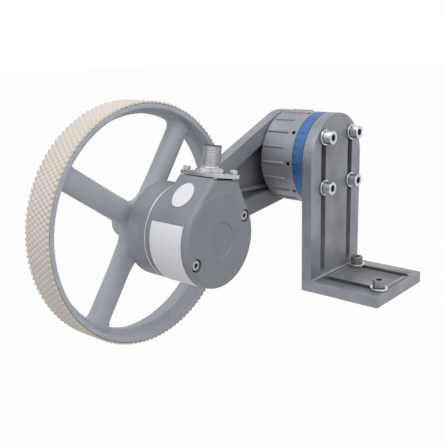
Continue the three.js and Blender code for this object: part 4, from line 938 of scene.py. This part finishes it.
# Sizes of the screws of the cover, the connector, the encoder's flange and the arm, in millimetres.
SMALL_SCREWS = {
    "cover": dict(head=3.2, height=2.2, flats=2.5, depth=1.4, shank=1.5, reach=23, chamfer=0.7),
    "connector": dict(head=2.3, height=2.2, flats=2, depth=1.2, shank=1.2, reach=6.5, chamfer=0.25),
    "flange": dict(head=3.5, height=3.4, flats=3, depth=2, shank=2, reach=8.9, chamfer=0.4),
    "retaining": dict(head=5, height=4, flats=5, depth=2.4, shank=2.8, reach=11.6, chamfer=0.4),
}
FLANGE_SCREW_ANGLES = [math.radians(angle) for angle in (90, 210, 330)]
COUNTERBORE = 3.8 * MM  # radius and depth round a flange screw


class WHEEL_OT_screws(bpy.types.Operator):
    """Build the screws and washers of the bracket, the cover, the connector and the back"""

    bl_idname = "wheel.screws"
    bl_label = "Screws and washers"

    def screw(self, name, place, finish="zinc", **sizes):
        """One socket screw as a piece."""
        skin = Skin(place)
        socket_screw(skin, **sizes)
        skin.piece(name, finish_of(finish))

    def small_screw(self, kind, name, place, finish="zinc"):
        """A screw with the sizes of its kind."""
        sizes = {key: size * MM for key, size in SMALL_SCREWS[kind].items()}
        self.screw(name, place, finish, **sizes)

    def ring(self, name, place, outer, inner, thickness):
        """One washer as a piece."""
        skin = Skin(place)
        washer(skin, outer, inner, thickness)
        skin.piece(name, finish_of("zinc"))

    def on_bracket(self, s, b):
        """Two screws in the base's slots, and four that go through the plate's slots into the drum."""
        upright = Matrix.Rotation(-math.pi / 2, 4, "X")
        under = s.washer + 2 * s.gap
        hole = s.shank_radius + s.gap
        common = dict(depth=3 * MM, shank=s.shank_radius, pitch=s.pitch, chamfer=0.5 * MM)
        far, near = b.base_slot_far + s.gap, b.base_slot_near - 2 * MM
        short_of_base = 0.6 * MM
        for name, side, y in (("left", -1, far), ("right", 1, near)):
            at = shift(side * b.base_slot_spacing / 2, y, b.thickness)
            self.ring(
                f"base_washer_{name}", at @ shift(0, 0, s.gap) @ upright, s.base_washer, hole, s.washer)
            self.screw(
                f"base_screw_{name}", at @ shift(0, 0, under) @ upright, finish="burnished",
                head=s.head_radius, height=s.head_height, flats=s.key_flats,
                reach=b.thickness + under - short_of_base, **common)
        front, half = b.base_length / 2 - b.thickness, b.slot_spacing / 2
        into_flange = 6.3 * MM
        for name, x, z in (("upper_left", -half, half), ("upper_right", half, half),
                           ("lower_left", -half, -half), ("lower_right", half, -half)):
            at = shift(x, front, b.pivot_height + z)
            self.ring(f"plate_washer_{name}", at @ shift(0, -s.gap, 0), s.plate_washer, hole, s.washer)
            self.screw(
                f"plate_screw_{name}", at @ shift(0, -under, 0),
                head=s.plate_head_radius, height=s.plate_head_height, flats=s.plate_key_flats,
                reach=under + b.thickness + into_flange, **common)

    def on_encoder(self, s, e, c):
        """Two screws in the cover's recesses, and one at each corner of the connector's plate."""
        for name, angle in (("left", e.screw_left), ("right", e.screw_right)):
            spot = round_y(e.screw_circle, e.face + e.recess_depth - s.gap, angle)
            self.small_screw("cover", f"cover_screw_{name}", encoder_place() @ shift(*spot), "steel")
        upright = Matrix.Rotation(-math.pi / 2, 4, "X")
        middle, top = e.face + e.hump_length / 2, c.low + c.plate + s.gap
        for i, (x, y) in enumerate([(-1, -1), (-1, 1), (1, -1), (1, 1)]):
            at = encoder_place() @ shift(x * c.screw_x, middle + y * c.screw_y, top)
            self.small_screw("connector", f"connector_screw_{i + 1}", at @ upright, "nickel")

    def behind(self, arm):
        """Three screws in the cup's counterbores, and the washer and screw that hold the arm."""
        about = Matrix.Rotation(math.pi, 4, "X")
        rear = arm.front + arm.thickness
        for i, angle in enumerate(FLANGE_SCREW_ANGLES):
            at = encoder_place() @ shift(*round_y(arm.screw_circle, rear - COUNTERBORE + GAP, angle))
            self.small_screw("flange", f"flange_screw_{i + 1}", at @ about)
        at = pivot_place() @ shift(0, rear + 0.5 * MM, 0)
        outer, inner, thickness = 12.5 * MM, 3.1 * MM, 2 * MM
        self.ring("retaining_washer", at @ about, outer, inner, thickness)
        self.small_screw("retaining", "retaining_screw", at @ shift(0, thickness + GAP, 0) @ about)

    def execute(self, context):
        scene = context.scene
        self.on_bracket(scene.wheel_screws, scene.wheel_bracket)
        self.on_encoder(scene.wheel_screws, scene.wheel_encoder, scene.wheel_connector)
        self.behind(scene.wheel_arm)
        return {"FINISHED"}


class WHEEL_OT_drum(bpy.types.Operator):
    """Build the drum: the blue scale ring and the ribbed grip ring"""

    bl_idname = "wheel.drum"
    bl_label = "Drum"

    def execute(self, context):
        s = context.scene.wheel_drum
        end = s.start + s.scale_length
        inner = s.radius - s.scale_wall
        skin = Skin(pivot_place())
        section = rounded(rectangle(inner, s.start, s.radius, end), [0, 0.3 * MM, 0.3 * MM, 0], 4)
        skin.grid(lathe(section, 240), closed=True)
        skin.piece("scale_ring", finish_of("blue"))
        skin = Skin(pivot_place())
        rows, depth = self.grip(s, end + GAP)
        skin.grid(rows, closed=True, depth=depth)
        skin.piece("grip_ring", finish_of("grip"), sharp=40)
        return {"FINISHED"}

    def grip(self, s, start):
        """Rows of points of the ribbed ring. Two parameters run along the outside, y, and round it, the
        distance from the nearest rib's middle line. A rib stands up inside a rectangle with round ends, by
        how far a point is inside it. Round a pin hole a square patch of the grid is pulled to circles: a
        point whose larger offset is m goes to distance m from the hole's centre, and back to its own place
        at the patch's edge; inside the hole's radius it drops by the depth."""
        end = start + s.grip_length
        half_sector = TURN * s.radius / s.rib_count / 2
        # Distances from the middle of a rib or a hole, closest over a rib's flank and a hole's rim.
        near = np.array([0, 0.35, 0.7, 0.85, 1.0, 1.15, 1.35, 1.5, 1.75, 2.1, 2.4, 3.1, 3.9, 4.8]) * MM
        round_it = np.concatenate([-near[:0:-1], near, [half_sector]])
        angle = (np.arange(s.rib_count)[:, None] * TURN / s.rib_count + round_it / s.radius).ravel()
        around = np.tile(round_it, s.rib_count)
        has_hole = np.repeat(np.arange(s.rib_count) % 2 == 1, len(round_it))
        hole_y = start + s.hole_from_front
        rib_low, rib_high = start + s.rib_from_front, end - s.rib_from_rear
        offsets = np.concatenate([-near[9:0:-1], near[:10]])
        edge, chamfer = 0.3 * MM, 0.8 * MM
        # Fine rows at both ends of a rib, from just outside it to past its round end.
        fine, before, past, inner = 0.15 * MM, 0.3 * MM, 1.6 * MM, 2 * MM
        rows = np.concatenate([
            [start + edge], hole_y + offsets, np.arange(rib_low - before, rib_low + past, fine),
            np.linspace(rib_low + inner, rib_high - inner, 14),
            np.arange(rib_high - past, rib_high + before, fine)])
        p, q = np.meshgrid(around, rows - hole_y)
        reach = 2.1 * MM
        m = np.maximum(abs(p), abs(q))
        share = smooth(m, s.hole_radius, reach)
        distance = np.maximum(np.hypot(p, q), 1e-9)
        pull = np.where((m < reach) & has_hole, (1 - share) * m / distance + share, 1)
        moved_p, moved_q = p * pull, q * pull
        straight = (rib_high - rib_low) / 2 - s.rib_width / 2
        off_line = np.hypot(
            abs(moved_p), np.maximum(abs(moved_q + hole_y - (rib_low + rib_high) / 2) - straight, 0))
        flank, countersink = 0.45 * MM, 0.12 * MM
        rib = s.rib_height * smooth(s.rib_width / 2 - off_line, 0, flank)
        in_hole, on_rim = m < s.hole_radius - 0.01 * MM, abs(m - s.hole_radius) < 0.02 * MM
        drop = s.hole_depth * in_hole + countersink * on_rim
        radius = s.radius + rib - np.where(has_hole, drop, 0)
        outside = round_y(radius, moved_q + hole_y, s.phase + angle + (moved_p - p) / s.radius)
        wall = s.radius - s.grip_wall
        section = rounded(
            [(s.radius, end - chamfer), (s.radius - chamfer, end), (s.opening, end),
             (s.opening, end - s.end_wall), (wall, end - s.end_wall), (wall, start),
             (s.radius - edge, start)],
            [0, 0.3 * MM, 0.5 * MM, 0, 0, 0, 0], 3, closed=False)
        back = round_y(section[:, :1], section[:, 1:], s.phase + angle[None])
        # Painted shade: the pin holes' floors are darkened fully.
        depth = np.concatenate([np.where(has_hole, in_hole, 0.0), np.zeros(back.shape[:2])])
        return np.concatenate([outside, back]), depth


class WHEEL_OT_arm(bpy.types.Operator):
    """Build the swing arm with its pocket and rib, its hub and the encoder's cup"""

    bl_idname = "wheel.arm"
    bl_label = "Arm"

    def beam(self, s, trim):
        """The arm's outline: the head's arc, the two outer tangents of head and tail, and an arc round
        the shaft that ends inside the cup's wall. trim moves head, tail and tangents in."""
        head, tail = s.head_radius - trim, s.tail_radius - trim
        touch = math.pi / 2 + math.asin((head - tail) / s.length)
        cut = s.cup_radius - 1.5 * MM
        # Shaft, touching point and the tangent's crossing with the last arc make a right-angled triangle,
        # with the tail's radius as a short side and the arc's radius as the long one.
        crossing = touch - math.acos(tail / cut)
        return np.concatenate([
            arc(head, -touch, touch, 96), arc(cut, crossing, -crossing, 24, -s.length, 0)])

    def execute(self, context):
        s = context.scene.wheel_arm
        rear = s.front + s.thickness
        shelf = s.front + s.frame_thickness
        floor = rear - s.web
        skin = Skin(arm_place())
        wide, slim = self.beam(s, 0), self.beam(s, s.rear_inset)
        touch = math.pi / 2 + math.asin((s.pocket_head - s.pocket_tail) / s.pocket_length)
        pocket = np.concatenate([
            arc(s.pocket_head, -touch, touch, 64),
            arc(s.pocket_tail, touch, TURN - touch, 32, -s.pocket_length, 0)])
        bore = circle(s.hub_bore)
        edge, fine = 0.6 * MM, 0.3 * MM
        rim = skin.hollow(pocket, s.front, floor, edge, 1.6 * MM, [bore])
        skin.cap([inset(wide, edge), rim], s.front)
        skin.wall(wide, quarter(s.front, shelf, edge, fine))
        skin.cap([inset(wide, fine), slim], shelf)
        end = rear - 0.01 * MM
        # With no edge at its start, the wall's first stations are all the same, and one is enough.
        skin.wall(slim, quarter(shelf, end, 0, fine, 4)[4:])
        skin.wall(bore, [(0, floor), (0, end)])
        skin.cap([inset(slim, fine), bore], end)
        self.rib(skin, s, floor)
        self.hub(skin, s, rear)
        skin.place = encoder_place()
        self.cup(skin, s, rear)
        skin.piece("arm", finish_of("arm"))
        return {"FINISHED"}

    def rib(self, skin, s, floor):
        """A bar across the pocket, from under the hub up to the pocket's far end."""
        first = np.array([-0.55, -0.55]) * s.head_radius
        last = np.array([-1.05 * s.pocket_length, 0.4 * s.pocket_tail])
        along = (last - first) / np.linalg.norm(last - first)
        across = np.array([-along[1], along[0]]) * s.rib_thickness / 2
        corners = [first - across, last - across, last + across, first + across]
        skin.plate(rounded(corners, 0.6 * MM, 3), [], floor - s.rib_depth, floor + s.web / 2, 0.5 * MM)

    def hub(self, skin, s, rear):
        """A tube round the pivot, from inside the drum to just under the arm's rear face."""
        section = rectangle(s.hub_bore, s.hub_front, s.hub_radius, rear - 0.5 * MM)
        skin.grid(lathe(rounded(section, [0.3 * MM, 0.5 * MM, 0, 0], 3), 96), closed=True)

    def cup(self, skin, s, rear):
        """The cup goes round the shaft, from its rear rim forwards round the lip and back to the opening.
        Its rear face has three counterbores."""
        chamfer, sides = 0.8 * MM, 160
        section = rounded(
            [(s.cup_radius - chamfer, rear), (s.cup_radius, rear - chamfer),
             (s.cup_radius, s.cup_front), (s.cup_bore, s.cup_front), (s.cup_bore, s.cup_floor),
             (s.cup_opening, s.cup_floor), (s.cup_opening, rear)],
            np.array([0, 0.5, 0.7, 0.3, 0.5, 0.3, 0]) * MM, 4, closed=False)
        skin.grid(lathe(section, sides))
        holes, sink = [circle(s.cup_opening, sides=sides)], rear - COUNTERBORE
        for angle in FLANGE_SCREW_ANGLES:
            x, z = polar(s.screw_circle, angle)
            through = circle(2.3 * MM, x, z, 24)
            outer = circle(COUNTERBORE, x, z, 40)
            holes.append(skin.hollow(outer, rear, sink, 0.2 * MM, 0.1 * MM, [through]))
            skin.wall(through, [(0, sink), (0, s.cup_floor)])
        skin.cap([circle(s.cup_radius - chamfer, sides=sides), *holes], rear)


class WHEEL_OT_encoder(bpy.types.Operator):
    """Build the encoder's cover with its hump, and the two bare labels"""

    bl_idname = "wheel.encoder"
    bl_label = "Encoder cover and labels"

    def tangent(self, s):
        """The angle at which the hump's slanted side touches the round body."""
        corner = math.hypot(s.hump_width, s.hump_height)
        return math.pi / 2 - math.acos(s.radius / corner) - math.atan2(s.hump_width, s.hump_height)

    def hump_loop(self, s, shrink):
        """The hump's outline, shrunk: its seat and its slanted sides stand in by the same distance, and it
        closes inside the round body."""
        touch = self.tangent(s)
        radius, top = s.radius - shrink, s.hump_height - shrink
        x = (radius - top * math.sin(touch)) / math.cos(touch)
        ends = np.array([math.cos(touch), math.sin(touch)])
        mirror = np.array([-1, 1])
        inner = s.radius - 1.5 * s.wall
        shape = [ends * radius, (x, top), (-x, top), ends * radius * mirror]
        corner = max(1.2 * MM - shrink, 0.1 * MM)
        return np.concatenate([
            rounded(shape, [0, corner, corner, 0], 6, closed=False),
            arc(inner, math.pi - touch, touch, 40)])

    def execute(self, context):
        s = context.scene.wheel_encoder
        place = encoder_place()
        body = Skin(place)
        flat = s.radius - s.edge
        panel = s.face + s.disc_depth
        face = [(0, panel), (s.disc_radius - 0.5 * MM, panel), (s.disc_radius, s.face),
                (flat - 3 * MM, s.face)]
        around = quarter(s.face, s.end, s.edge, 0.3 * MM, 10)
        outside = [(s.radius - distance, y) for distance, y in around]
        bore = s.radius - s.wall
        inside = [(bore, s.end), (bore, s.face + s.wall), (0, s.face + s.wall)]
        face = rounded(face, [0, 0.6 * MM, 0.6 * MM, 0], 4, closed=False)
        body.grid(lathe([*face, *outside, *inside], 200))
        hump = Skin(place)
        front, rear = s.face + s.hump_step, s.face + s.hump_length
        rear_edge = 0.8 * MM
        stations = quarter(front, rear, s.edge, rear_edge, 8)
        hump.grid(np.stack([level(self.hump_loop(s, distance), y) for distance, y in stations]))
        hump.cap([self.hump_loop(s, s.edge)], front)
        hump.cap([self.hump_loop(s, rear_edge)], rear)
        cover = Skin()
        for part in (body, hump):
            cover.include(carved(part, self.cutters(s, place)))
        cover.piece("encoder_cover", finish_of("coat"))
        self.labels(s, place)
        return {"FINISHED"}

    def cutters(self, s, place):
        """Closed cylinders that cut the two round recesses for the cover's screws."""
        before, floor = s.face - MM, s.face + s.recess_depth
        made = []
        for angle in (s.screw_left, s.screw_right):
            skin = Skin(place @ shift(*round_y(s.screw_circle, 0, angle)))
            section = [(0, before), (s.recess_radius, before), (s.recess_radius, floor), (0, floor)]
            skin.grid(lathe(section, 48))
            made.append(skin)
        return made

    def labels(self, s, place):
        """The long label is a rectangle carried round the body; the oval is a thin plate on the hump's
        left slanted side."""
        lift, thick = 0.15 * MM, 0.2 * MM
        low = s.radius + lift
        section = rounded(
            rectangle(low, s.label_front, low + thick, s.label_front + s.label_width), 0.08 * MM, 2)
        angle = np.linspace(s.label_start, s.label_end, 49)[:, None]
        skin = Skin(place)
        skin.grid(round_y(section[:, 0], section[:, 1], angle))
        for end in (s.label_start, s.label_end):
            skin.add(round_y(section[:, 0], section[:, 1], end), [list(range(len(section)))])
        skin.piece("rating_label", finish_of("label"))
        slant = math.pi - self.tangent(s)
        height = s.hump_height - s.oval_below
        along = (low * math.sin(slant) - height) / math.cos(slant)
        spot = (low * math.cos(slant) + along * math.sin(slant), s.face + s.oval_from_face, height)
        turn = Matrix.Rotation(math.pi / 2 - slant, 4, "Y")
        oval = circle(1, sides=72) * [s.oval_length, s.oval_width]
        skin = Skin(place @ shift(*spot) @ turn @ SWAP_YZ)
        skin.plate(oval, [], 0, thick, 0.06 * MM)
        skin.piece("oval_label", finish_of("label"))


class WHEEL_OT_connector(bpy.types.Operator):
    """Build the connector's plate, collar and threaded tube"""

    bl_idname = "wheel.connector"
    bl_label = "Connector"

    def execute(self, context):
        s = context.scene.wheel_connector
        face, top = s.low + s.plate, s.low + s.height
        skin = Skin(connector_place())
        corners = rectangle(-s.half_width, -s.half_length, s.half_width, s.half_length)
        holes = [circle(1.5 * MM, x * s.screw_x, y * s.screw_y, 24) for x in (-1, 1) for y in (-1, 1)]
        skin.plate(rounded(corners, s.corner, 6), holes, s.low, face, 0.35 * MM)
        neck = face + s.collar_height
        low, high = neck + 1 * MM, top - 0.8 * MM
        bottom = s.low + 0.2 * MM
        foot = rounded(
            [(s.tube_bore, bottom), (s.collar_radius, bottom), (s.collar_radius, face + 1.1 * MM),
             (s.collar_radius - 1.8 * MM, neck), (s.tube_radius, neck), (s.tube_radius, low)],
            [0, 0, 0.3 * MM, 0.5 * MM, 0.5 * MM, 0], 3, closed=False)
        thread = [(s.tube_radius, y) for y in np.arange(low, high - 0.05 * MM, s.pitch / 8)]
        lip = rounded(
            [(s.tube_radius, high), (s.tube_radius - 0.3 * MM, top), (s.tube_bore, top),
             (s.tube_bore, bottom)],
            [0, 0.15 * MM, 0.1 * MM, 0], 3, closed=False)

        def thread_relief(angle, radius, y):
            """A triangle wave that climbs one pitch a turn, faded out at both ends."""
            wave = np.abs((y / s.pitch - angle / TURN) % 1 - 0.5) * 2
            ends = smooth(y, low, low + s.pitch) * (1 - smooth(y, high - s.pitch / 2, high))
            return -0.2 * MM * wave * ends * (np.abs(radius - s.tube_radius) < 1e-7)

        sides = 72
        # Darkening by depth: 0.4 along the thread, and 0.9 over the rim and down the bore, where it is
        # painted shade.
        depth = np.repeat([0.0] * len(foot) + [0.4] * len(thread) + [0.9] * len(lip), sides)
        skin.grid(lathe([*foot, *thread, *lip], sides, thread_relief), closed=True, depth=depth)
        skin.piece("connector_shell", finish_of("nickel"))
        return {"FINISHED"}


class WHEEL_OT_wheel(bpy.types.Operator):
    """Build the cast wheel: a ridged rim, flared spokes and the hub with its two bosses"""

    bl_idname = "wheel.wheel"
    bl_label = "Wheel"

    def execute(self, context):
        s = context.scene.wheel_wheel
        outer = s.radius - s.tread - GAP
        inner = outer - s.rim_wall
        top = inner - s.ridge
        end = s.start + s.width
        middle = (s.start + end) / 2
        skin = Skin(axle_place())
        rim = rounded(
            [(inner, s.start), (outer, s.start), (outer, end), (inner, end),
             (inner, middle + s.ridge_foot / 2), (top, middle + s.ridge_top / 2),
             (top, middle - s.ridge_top / 2), (inner, middle - s.ridge_foot / 2)],
            np.array([0.9, 0.5, 0.5, 0.9, 2.6, 1.6, 1.6, 2.6]) * MM, 6)
        skin.grid(lathe(rim, 288), closed=True)
        self.spokes(skin, s, middle, inner)
        rear = end + s.rear_proud
        hub = rounded(
            [(s.bore, s.boss_front), (s.boss_radius, s.boss_front), (s.boss_radius, middle),
             (s.rear_radius, middle), (s.rear_radius, rear), (s.bore, rear)],
            np.array([0.4, 0.8, 0, 0, 0.7, 0.4]) * MM, 5)
        skin.grid(lathe(hub, 128), closed=True)
        skin.piece("wheel", finish_of("paint"), sharp=40)
        return {"FINISHED"}

    def spokes(self, skin, s, middle, inner):
        """For each two neighbours, half a superellipse is carried from one spoke's tip in along its side,
        round a fillet and out along the other's side. Its power is 2.1, and towards the hub it eases to
        2.5 and to the hub's depth. At the rim its half-width and half-depth grow by shares of a fillet's
        r - sqrt(r^2 - (r - d)^2), where d is the distance left to the ridge. A point of the plan is a
        complex number, along + across i."""
        step = TURN / s.spoke_count
        bend = s.spoke_width + s.web_fillet
        into_rim, width_share, depth_share = 1.2 * MM, 0.8, 0.05
        near, end = bend / math.tan(step / 2), inner + into_rim
        along = np.linspace(end, near, 49)[:, None]
        at_hub = 1 - smooth(along, near - 2 * MM, near + 1.2 * s.web_fillet)
        fillet = 6 * MM
        left = np.clip(fillet - (inner - s.ridge - along), 0, fillet)
        at_rim = fillet - np.sqrt(fillet ** 2 - left ** 2)
        width = s.spoke_width + width_share * at_rim
        around = np.linspace(-math.pi / 2, math.pi / 2, 33)[None]
        web = np.where(around < 0, s.web_front, s.web_rear)
        depth = s.spoke_depth + (web - s.spoke_depth) * at_hub + depth_share * at_rim
        power = 2 / (2.1 + 0.4 * at_hub)
        share = np.abs(np.cos(around)) ** power
        height = depth * np.sign(np.sin(around)) * np.abs(np.sin(around)) ** power
        straight = along + 1j * width * share
        turn = np.linspace(-math.pi / 2, step - 1.5 * math.pi, 17)[1:-1, None]
        round_it = near + 1j * bend + (bend - s.spoke_width * share[-1:]) * np.exp(1j * turn)
        tip = np.full((1, share.shape[1]), end + 0j)
        rows = np.concatenate([tip, straight, round_it])
        plan = np.concatenate([rows, np.exp(1j * step) * np.conj(rows[:len(straight) + 1][::-1])])
        y = np.concatenate([0 * height[:1], height, np.repeat(height[-1:], len(turn), 0), height[::-1],
                            0 * height[:1]])
        # Between the spokes a last point on the axis closes the front and the rear.
        inside = np.zeros(len(plan), bool)
        inside[len(straight) + 1:len(rows)] = True
        first, last = (np.where(inside, 0, plan[:, i])[:, None] for i in (0, -1))
        plan = np.hstack([first, plan, last])
        y = middle + np.hstack([y[:, :1], y, y[:, -1:]])
        for i in range(s.spoke_count):
            turned = plan * np.exp(1j * (s.spoke_phase + step * i))
            skin.grid(np.stack([turned.real, y, turned.imag], -1), around=False)


class WHEEL_OT_tread(bpy.types.Operator):
    """Build the tread with its staggered nubs"""

    bl_idname = "wheel.tread"
    bl_label = "Tread"

    def execute(self, context):
        s = context.scene.wheel_wheel
        inner = s.radius - s.tread
        low, high = s.start + GAP, s.start + s.width - GAP
        span = (s.nub_rows - 1) * s.nub_spacing
        first, last = (low + high - span) / 2, (low + high + span) / 2

        def nubs(angle, radius, y):
            """A cosine round the wheel times one across it is 1 on the nubs' tips and -1 in the hollows,
            which stand staggered. Past the first and the last row it keeps that row's value, so that the
            nubs run out to both edges, where the hollows are deepest."""
            row = (np.clip(y, first, last) - first) / s.nub_spacing
            wave = np.cos(s.nub_count * angle) * np.cos(math.pi * row)
            middle = (s.nub_rows - 1) / 2
            depth = s.nub_depth * (0.7 + 0.3 * smooth(np.abs(row - middle), middle - 1, middle))
            sink = depth * smooth((1 - wave) / 2, 0.12, 0.98)
            return -sink * (radius > s.radius - s.tread / 2)

        # The straight run has the last station of one shoulder and the first of the other as its ends.
        edge, steps = 0.5 * MM, 3
        across = np.linspace(low + edge, high - edge, 66)
        shoulder = [(s.radius - distance, y) for distance, y in quarter(low, high, edge, edge, steps)]
        outside = [*shoulder[:steps], *[(s.radius, y) for y in across], *shoulder[-steps:]]
        skin = Skin(axle_place())
        skin.grid(lathe([*outside, (inner, high), (inner, low)], 8 * s.nub_count, nubs), closed=True)
        skin.piece("tread", finish_of("tread"), sharp=60)
        return {"FINISHED"}


class WHEEL_OT_inside(bpy.types.Operator):
    """Give the CAD pieces that still show, inside the drum and the encoder, their finishes"""

    bl_idname = "wheel.inside"
    bl_label = "Inner pieces"

    def execute(self, context):
        finishes = {
            "blasted": ["encoder_flange"],
            # Painted shadow on the mounting flange behind the slots.
            "dark": ["mounting_flange"],
            "steel": ["pivot_shaft", "torsion_spring", "encoder_bearing_front", "encoder_bearing_rear",
                      "encoder_shaft", "grub_screw_1", "grub_screw_2"],
            "bronze": ["arm_bush_front", "arm_bush_rear", "disc_hub",
                       *[f"connector_pin_{i}" for i in range(1, 8)]],
            "plastic": ["scanner_block", "connector_insert"],
            "rubber": ["connector_seal"],
            "board": ["circuit_board"],
            "glass": ["code_disc"],
        }
        for name, nodes in finishes.items():
            for node in nodes:
                obj = frame["nodes"][node]
                obj.data.materials.clear()
                obj.data.materials.append(finish_of(name))
        return {"FINISHED"}


CAMERA_PLACE = Vector((-414.16, -227.47, 171.81)) * MM
LAMP_TARGET = (-0.08, 0.05, 0.05)
# Place, side and power of each square lamp, in metres and watts.
LAMPS = {
    "key_lamp": ((-0.25, -0.6, 0.8), 0.6, 1.9),
    "top_lamp": ((-0.6, 0.2, 1.25), 1.0, 5.5),
}
ROOM_TINT, ROOM_STRENGTH = (0.97, 0.98, 1.0), 0.84
WHITE = (1.0, 1.0, 1.0)
FLOOR_REACH = 6.0
FLOOR_GLOW = 0.96  # share of white in the floor where the camera or a reflection sees it


class WHEEL_OT_stage(bpy.types.Operator):
    """Set the floor, the soft light and the camera"""

    bl_idname = "wheel.stage"
    bl_label = "Stage"

    def floor(self, s):
        """A plain floor. It is lit as any surface is, and a camera or glossy ray sees it brighter, so that
        it runs into the white background and still keeps the shadow."""
        finish = Finish("pale_floor", Roughness=0.9)
        cloud = finish.noise(3, 2)
        finish.set(Base_Color=finish.mixed(cloud, shade(tuple(s.floor), 0.99), tuple(s.floor)))
        path = finish.node("ShaderNodeLightPath")
        seen = finish.maths("MAXIMUM", path.output("Is Camera Ray"), path.output("Is Glossy Ray"))
        glow = finish.node("ShaderNodeEmission", {}, {"Color": WHITE, "Strength": 1.0})
        mixed = finish.node("ShaderNodeMixShader", {}, {0: seen * FLOOR_GLOW, 1: finish.shader, 2: glow})
        finish.put(finish.end, "Surface", mixed)
        low = CAD_BOX[0][2] - s.floor_drop
        corners = rectangle(-FLOOR_REACH, -FLOOR_REACH, FLOOR_REACH, FLOOR_REACH)
        mesh = bpy.data.meshes.new("floor")
        mesh.from_pydata([(x, y, low) for x, y in corners], [], [(0, 1, 2, 3)])
        mesh.materials.append(finish.material)
        obj = bpy.data.objects.new("floor", mesh)
        bpy.context.scene.collection.objects.link(obj)

    def world(self):
        """White to the camera and in reflections, and a plain soft light everywhere else."""
        world = bpy.data.worlds.new("soft_room")
        nodes = Nodes(world)
        path = nodes.node("ShaderNodeLightPath")
        direct = nodes.maths("MAXIMUM", path.output("Is Camera Ray"), path.output("Is Glossy Ray"))
        clear = nodes.maths("MAXIMUM", direct, path.output("Is Transmission Ray"))
        seen = nodes.node("ShaderNodeBackground", {}, {"Color": WHITE, "Strength": 1.0})
        light = nodes.node("ShaderNodeBackground", {}, {"Color": ROOM_TINT, "Strength": ROOM_STRENGTH})
        mixed = nodes.node("ShaderNodeMixShader", {}, {0: clear, 1: light, 2: seen})
        nodes.node("ShaderNodeOutputWorld", {}, {"Surface": mixed})
        bpy.context.scene.world = world

    def lamp(self, name, place, side, power):
        """A square lamp that faces the target."""
        data = bpy.data.lights.new(name, "AREA")
        data.shape, data.size, data.size_y, data.energy = "RECTANGLE", side, side, power
        obj = bpy.data.objects.new(name, data)
        back = (Vector(place) - Vector(LAMP_TARGET)).normalized()
        obj.matrix_world = shift(*place) @ back.to_track_quat("Z", "Y").to_matrix().to_4x4()
        bpy.context.scene.collection.objects.link(obj)

    def camera(self, s):
        """The view direction follows from azimuth and elevation, and the roll turns right and up in it."""
        a, e, r = s.azimuth, s.elevation, s.roll
        back = Vector((math.sin(a) * math.cos(e), -math.cos(a) * math.cos(e), math.sin(e)))
        right = Vector((math.cos(a), math.sin(a), 0))
        up = back.cross(right)
        right, up = math.cos(r) * right + math.sin(r) * up, math.cos(r) * up - math.sin(r) * right
        data = bpy.data.cameras.new("camera")
        data.lens, data.sensor_width, data.clip_start = s.lens, 36, 0.01
        obj = bpy.data.objects.new("camera", data)
        place = Matrix((right, up, back)).transposed().to_4x4()
        place.translation = CAMERA_PLACE
        obj.matrix_world = place
        bpy.context.scene.collection.objects.link(obj)
        bpy.context.scene.camera = obj

    def execute(self, context):
        s = context.scene.wheel_stage
        context.scene.view_settings.view_transform = "Standard"
        self.camera(s)
        self.floor(s)
        self.world()
        for name, (place, side, power) in LAMPS.items():
            self.lamp(name, place, side, power)
        return {"FINISHED"}


class WHEEL_PT_pieces(bpy.types.Panel):
    """Buttons for the pieces, and their sizes and colours."""

    bl_label = "Measuring Wheel"
    bl_idname = "WHEEL_PT_pieces"
    bl_space_type = "VIEW_3D"
    bl_region_type = "UI"
    bl_category = "Measuring Wheel"

    def draw(self, context):
        for operator in OPERATORS:
            self.layout.operator(operator.bl_idname)
        for name, group in GROUPS.items():
            box = self.layout.box()
            box.label(text=group.__doc__)
            for key in group.__annotations__:
                box.prop(getattr(context.scene, name), key)


OPERATORS = [
    WHEEL_OT_bracket, WHEEL_OT_screws, WHEEL_OT_drum, WHEEL_OT_arm, WHEEL_OT_encoder, WHEEL_OT_connector,
    WHEEL_OT_wheel, WHEEL_OT_tread, WHEEL_OT_inside, WHEEL_OT_stage,
]


def register():
    for cls in [*GROUPS.values(), *OPERATORS, WHEEL_PT_pieces]:
        bpy.utils.register_class(cls)
    for name, group in GROUPS.items():
        setattr(bpy.types.Scene, name, PointerProperty(type=group))


def unregister():
    for name in GROUPS:
        delattr(bpy.types.Scene, name)
    for cls in [WHEEL_PT_pieces, *reversed(OPERATORS), *GROUPS.values()]:
        bpy.utils.unregister_class(cls)


def main():
    register()
    for operator in OPERATORS:
        group, name = operator.bl_idname.split(".")
        getattr(getattr(bpy.ops, group), name)()


if __name__ == "__main__":
    main()
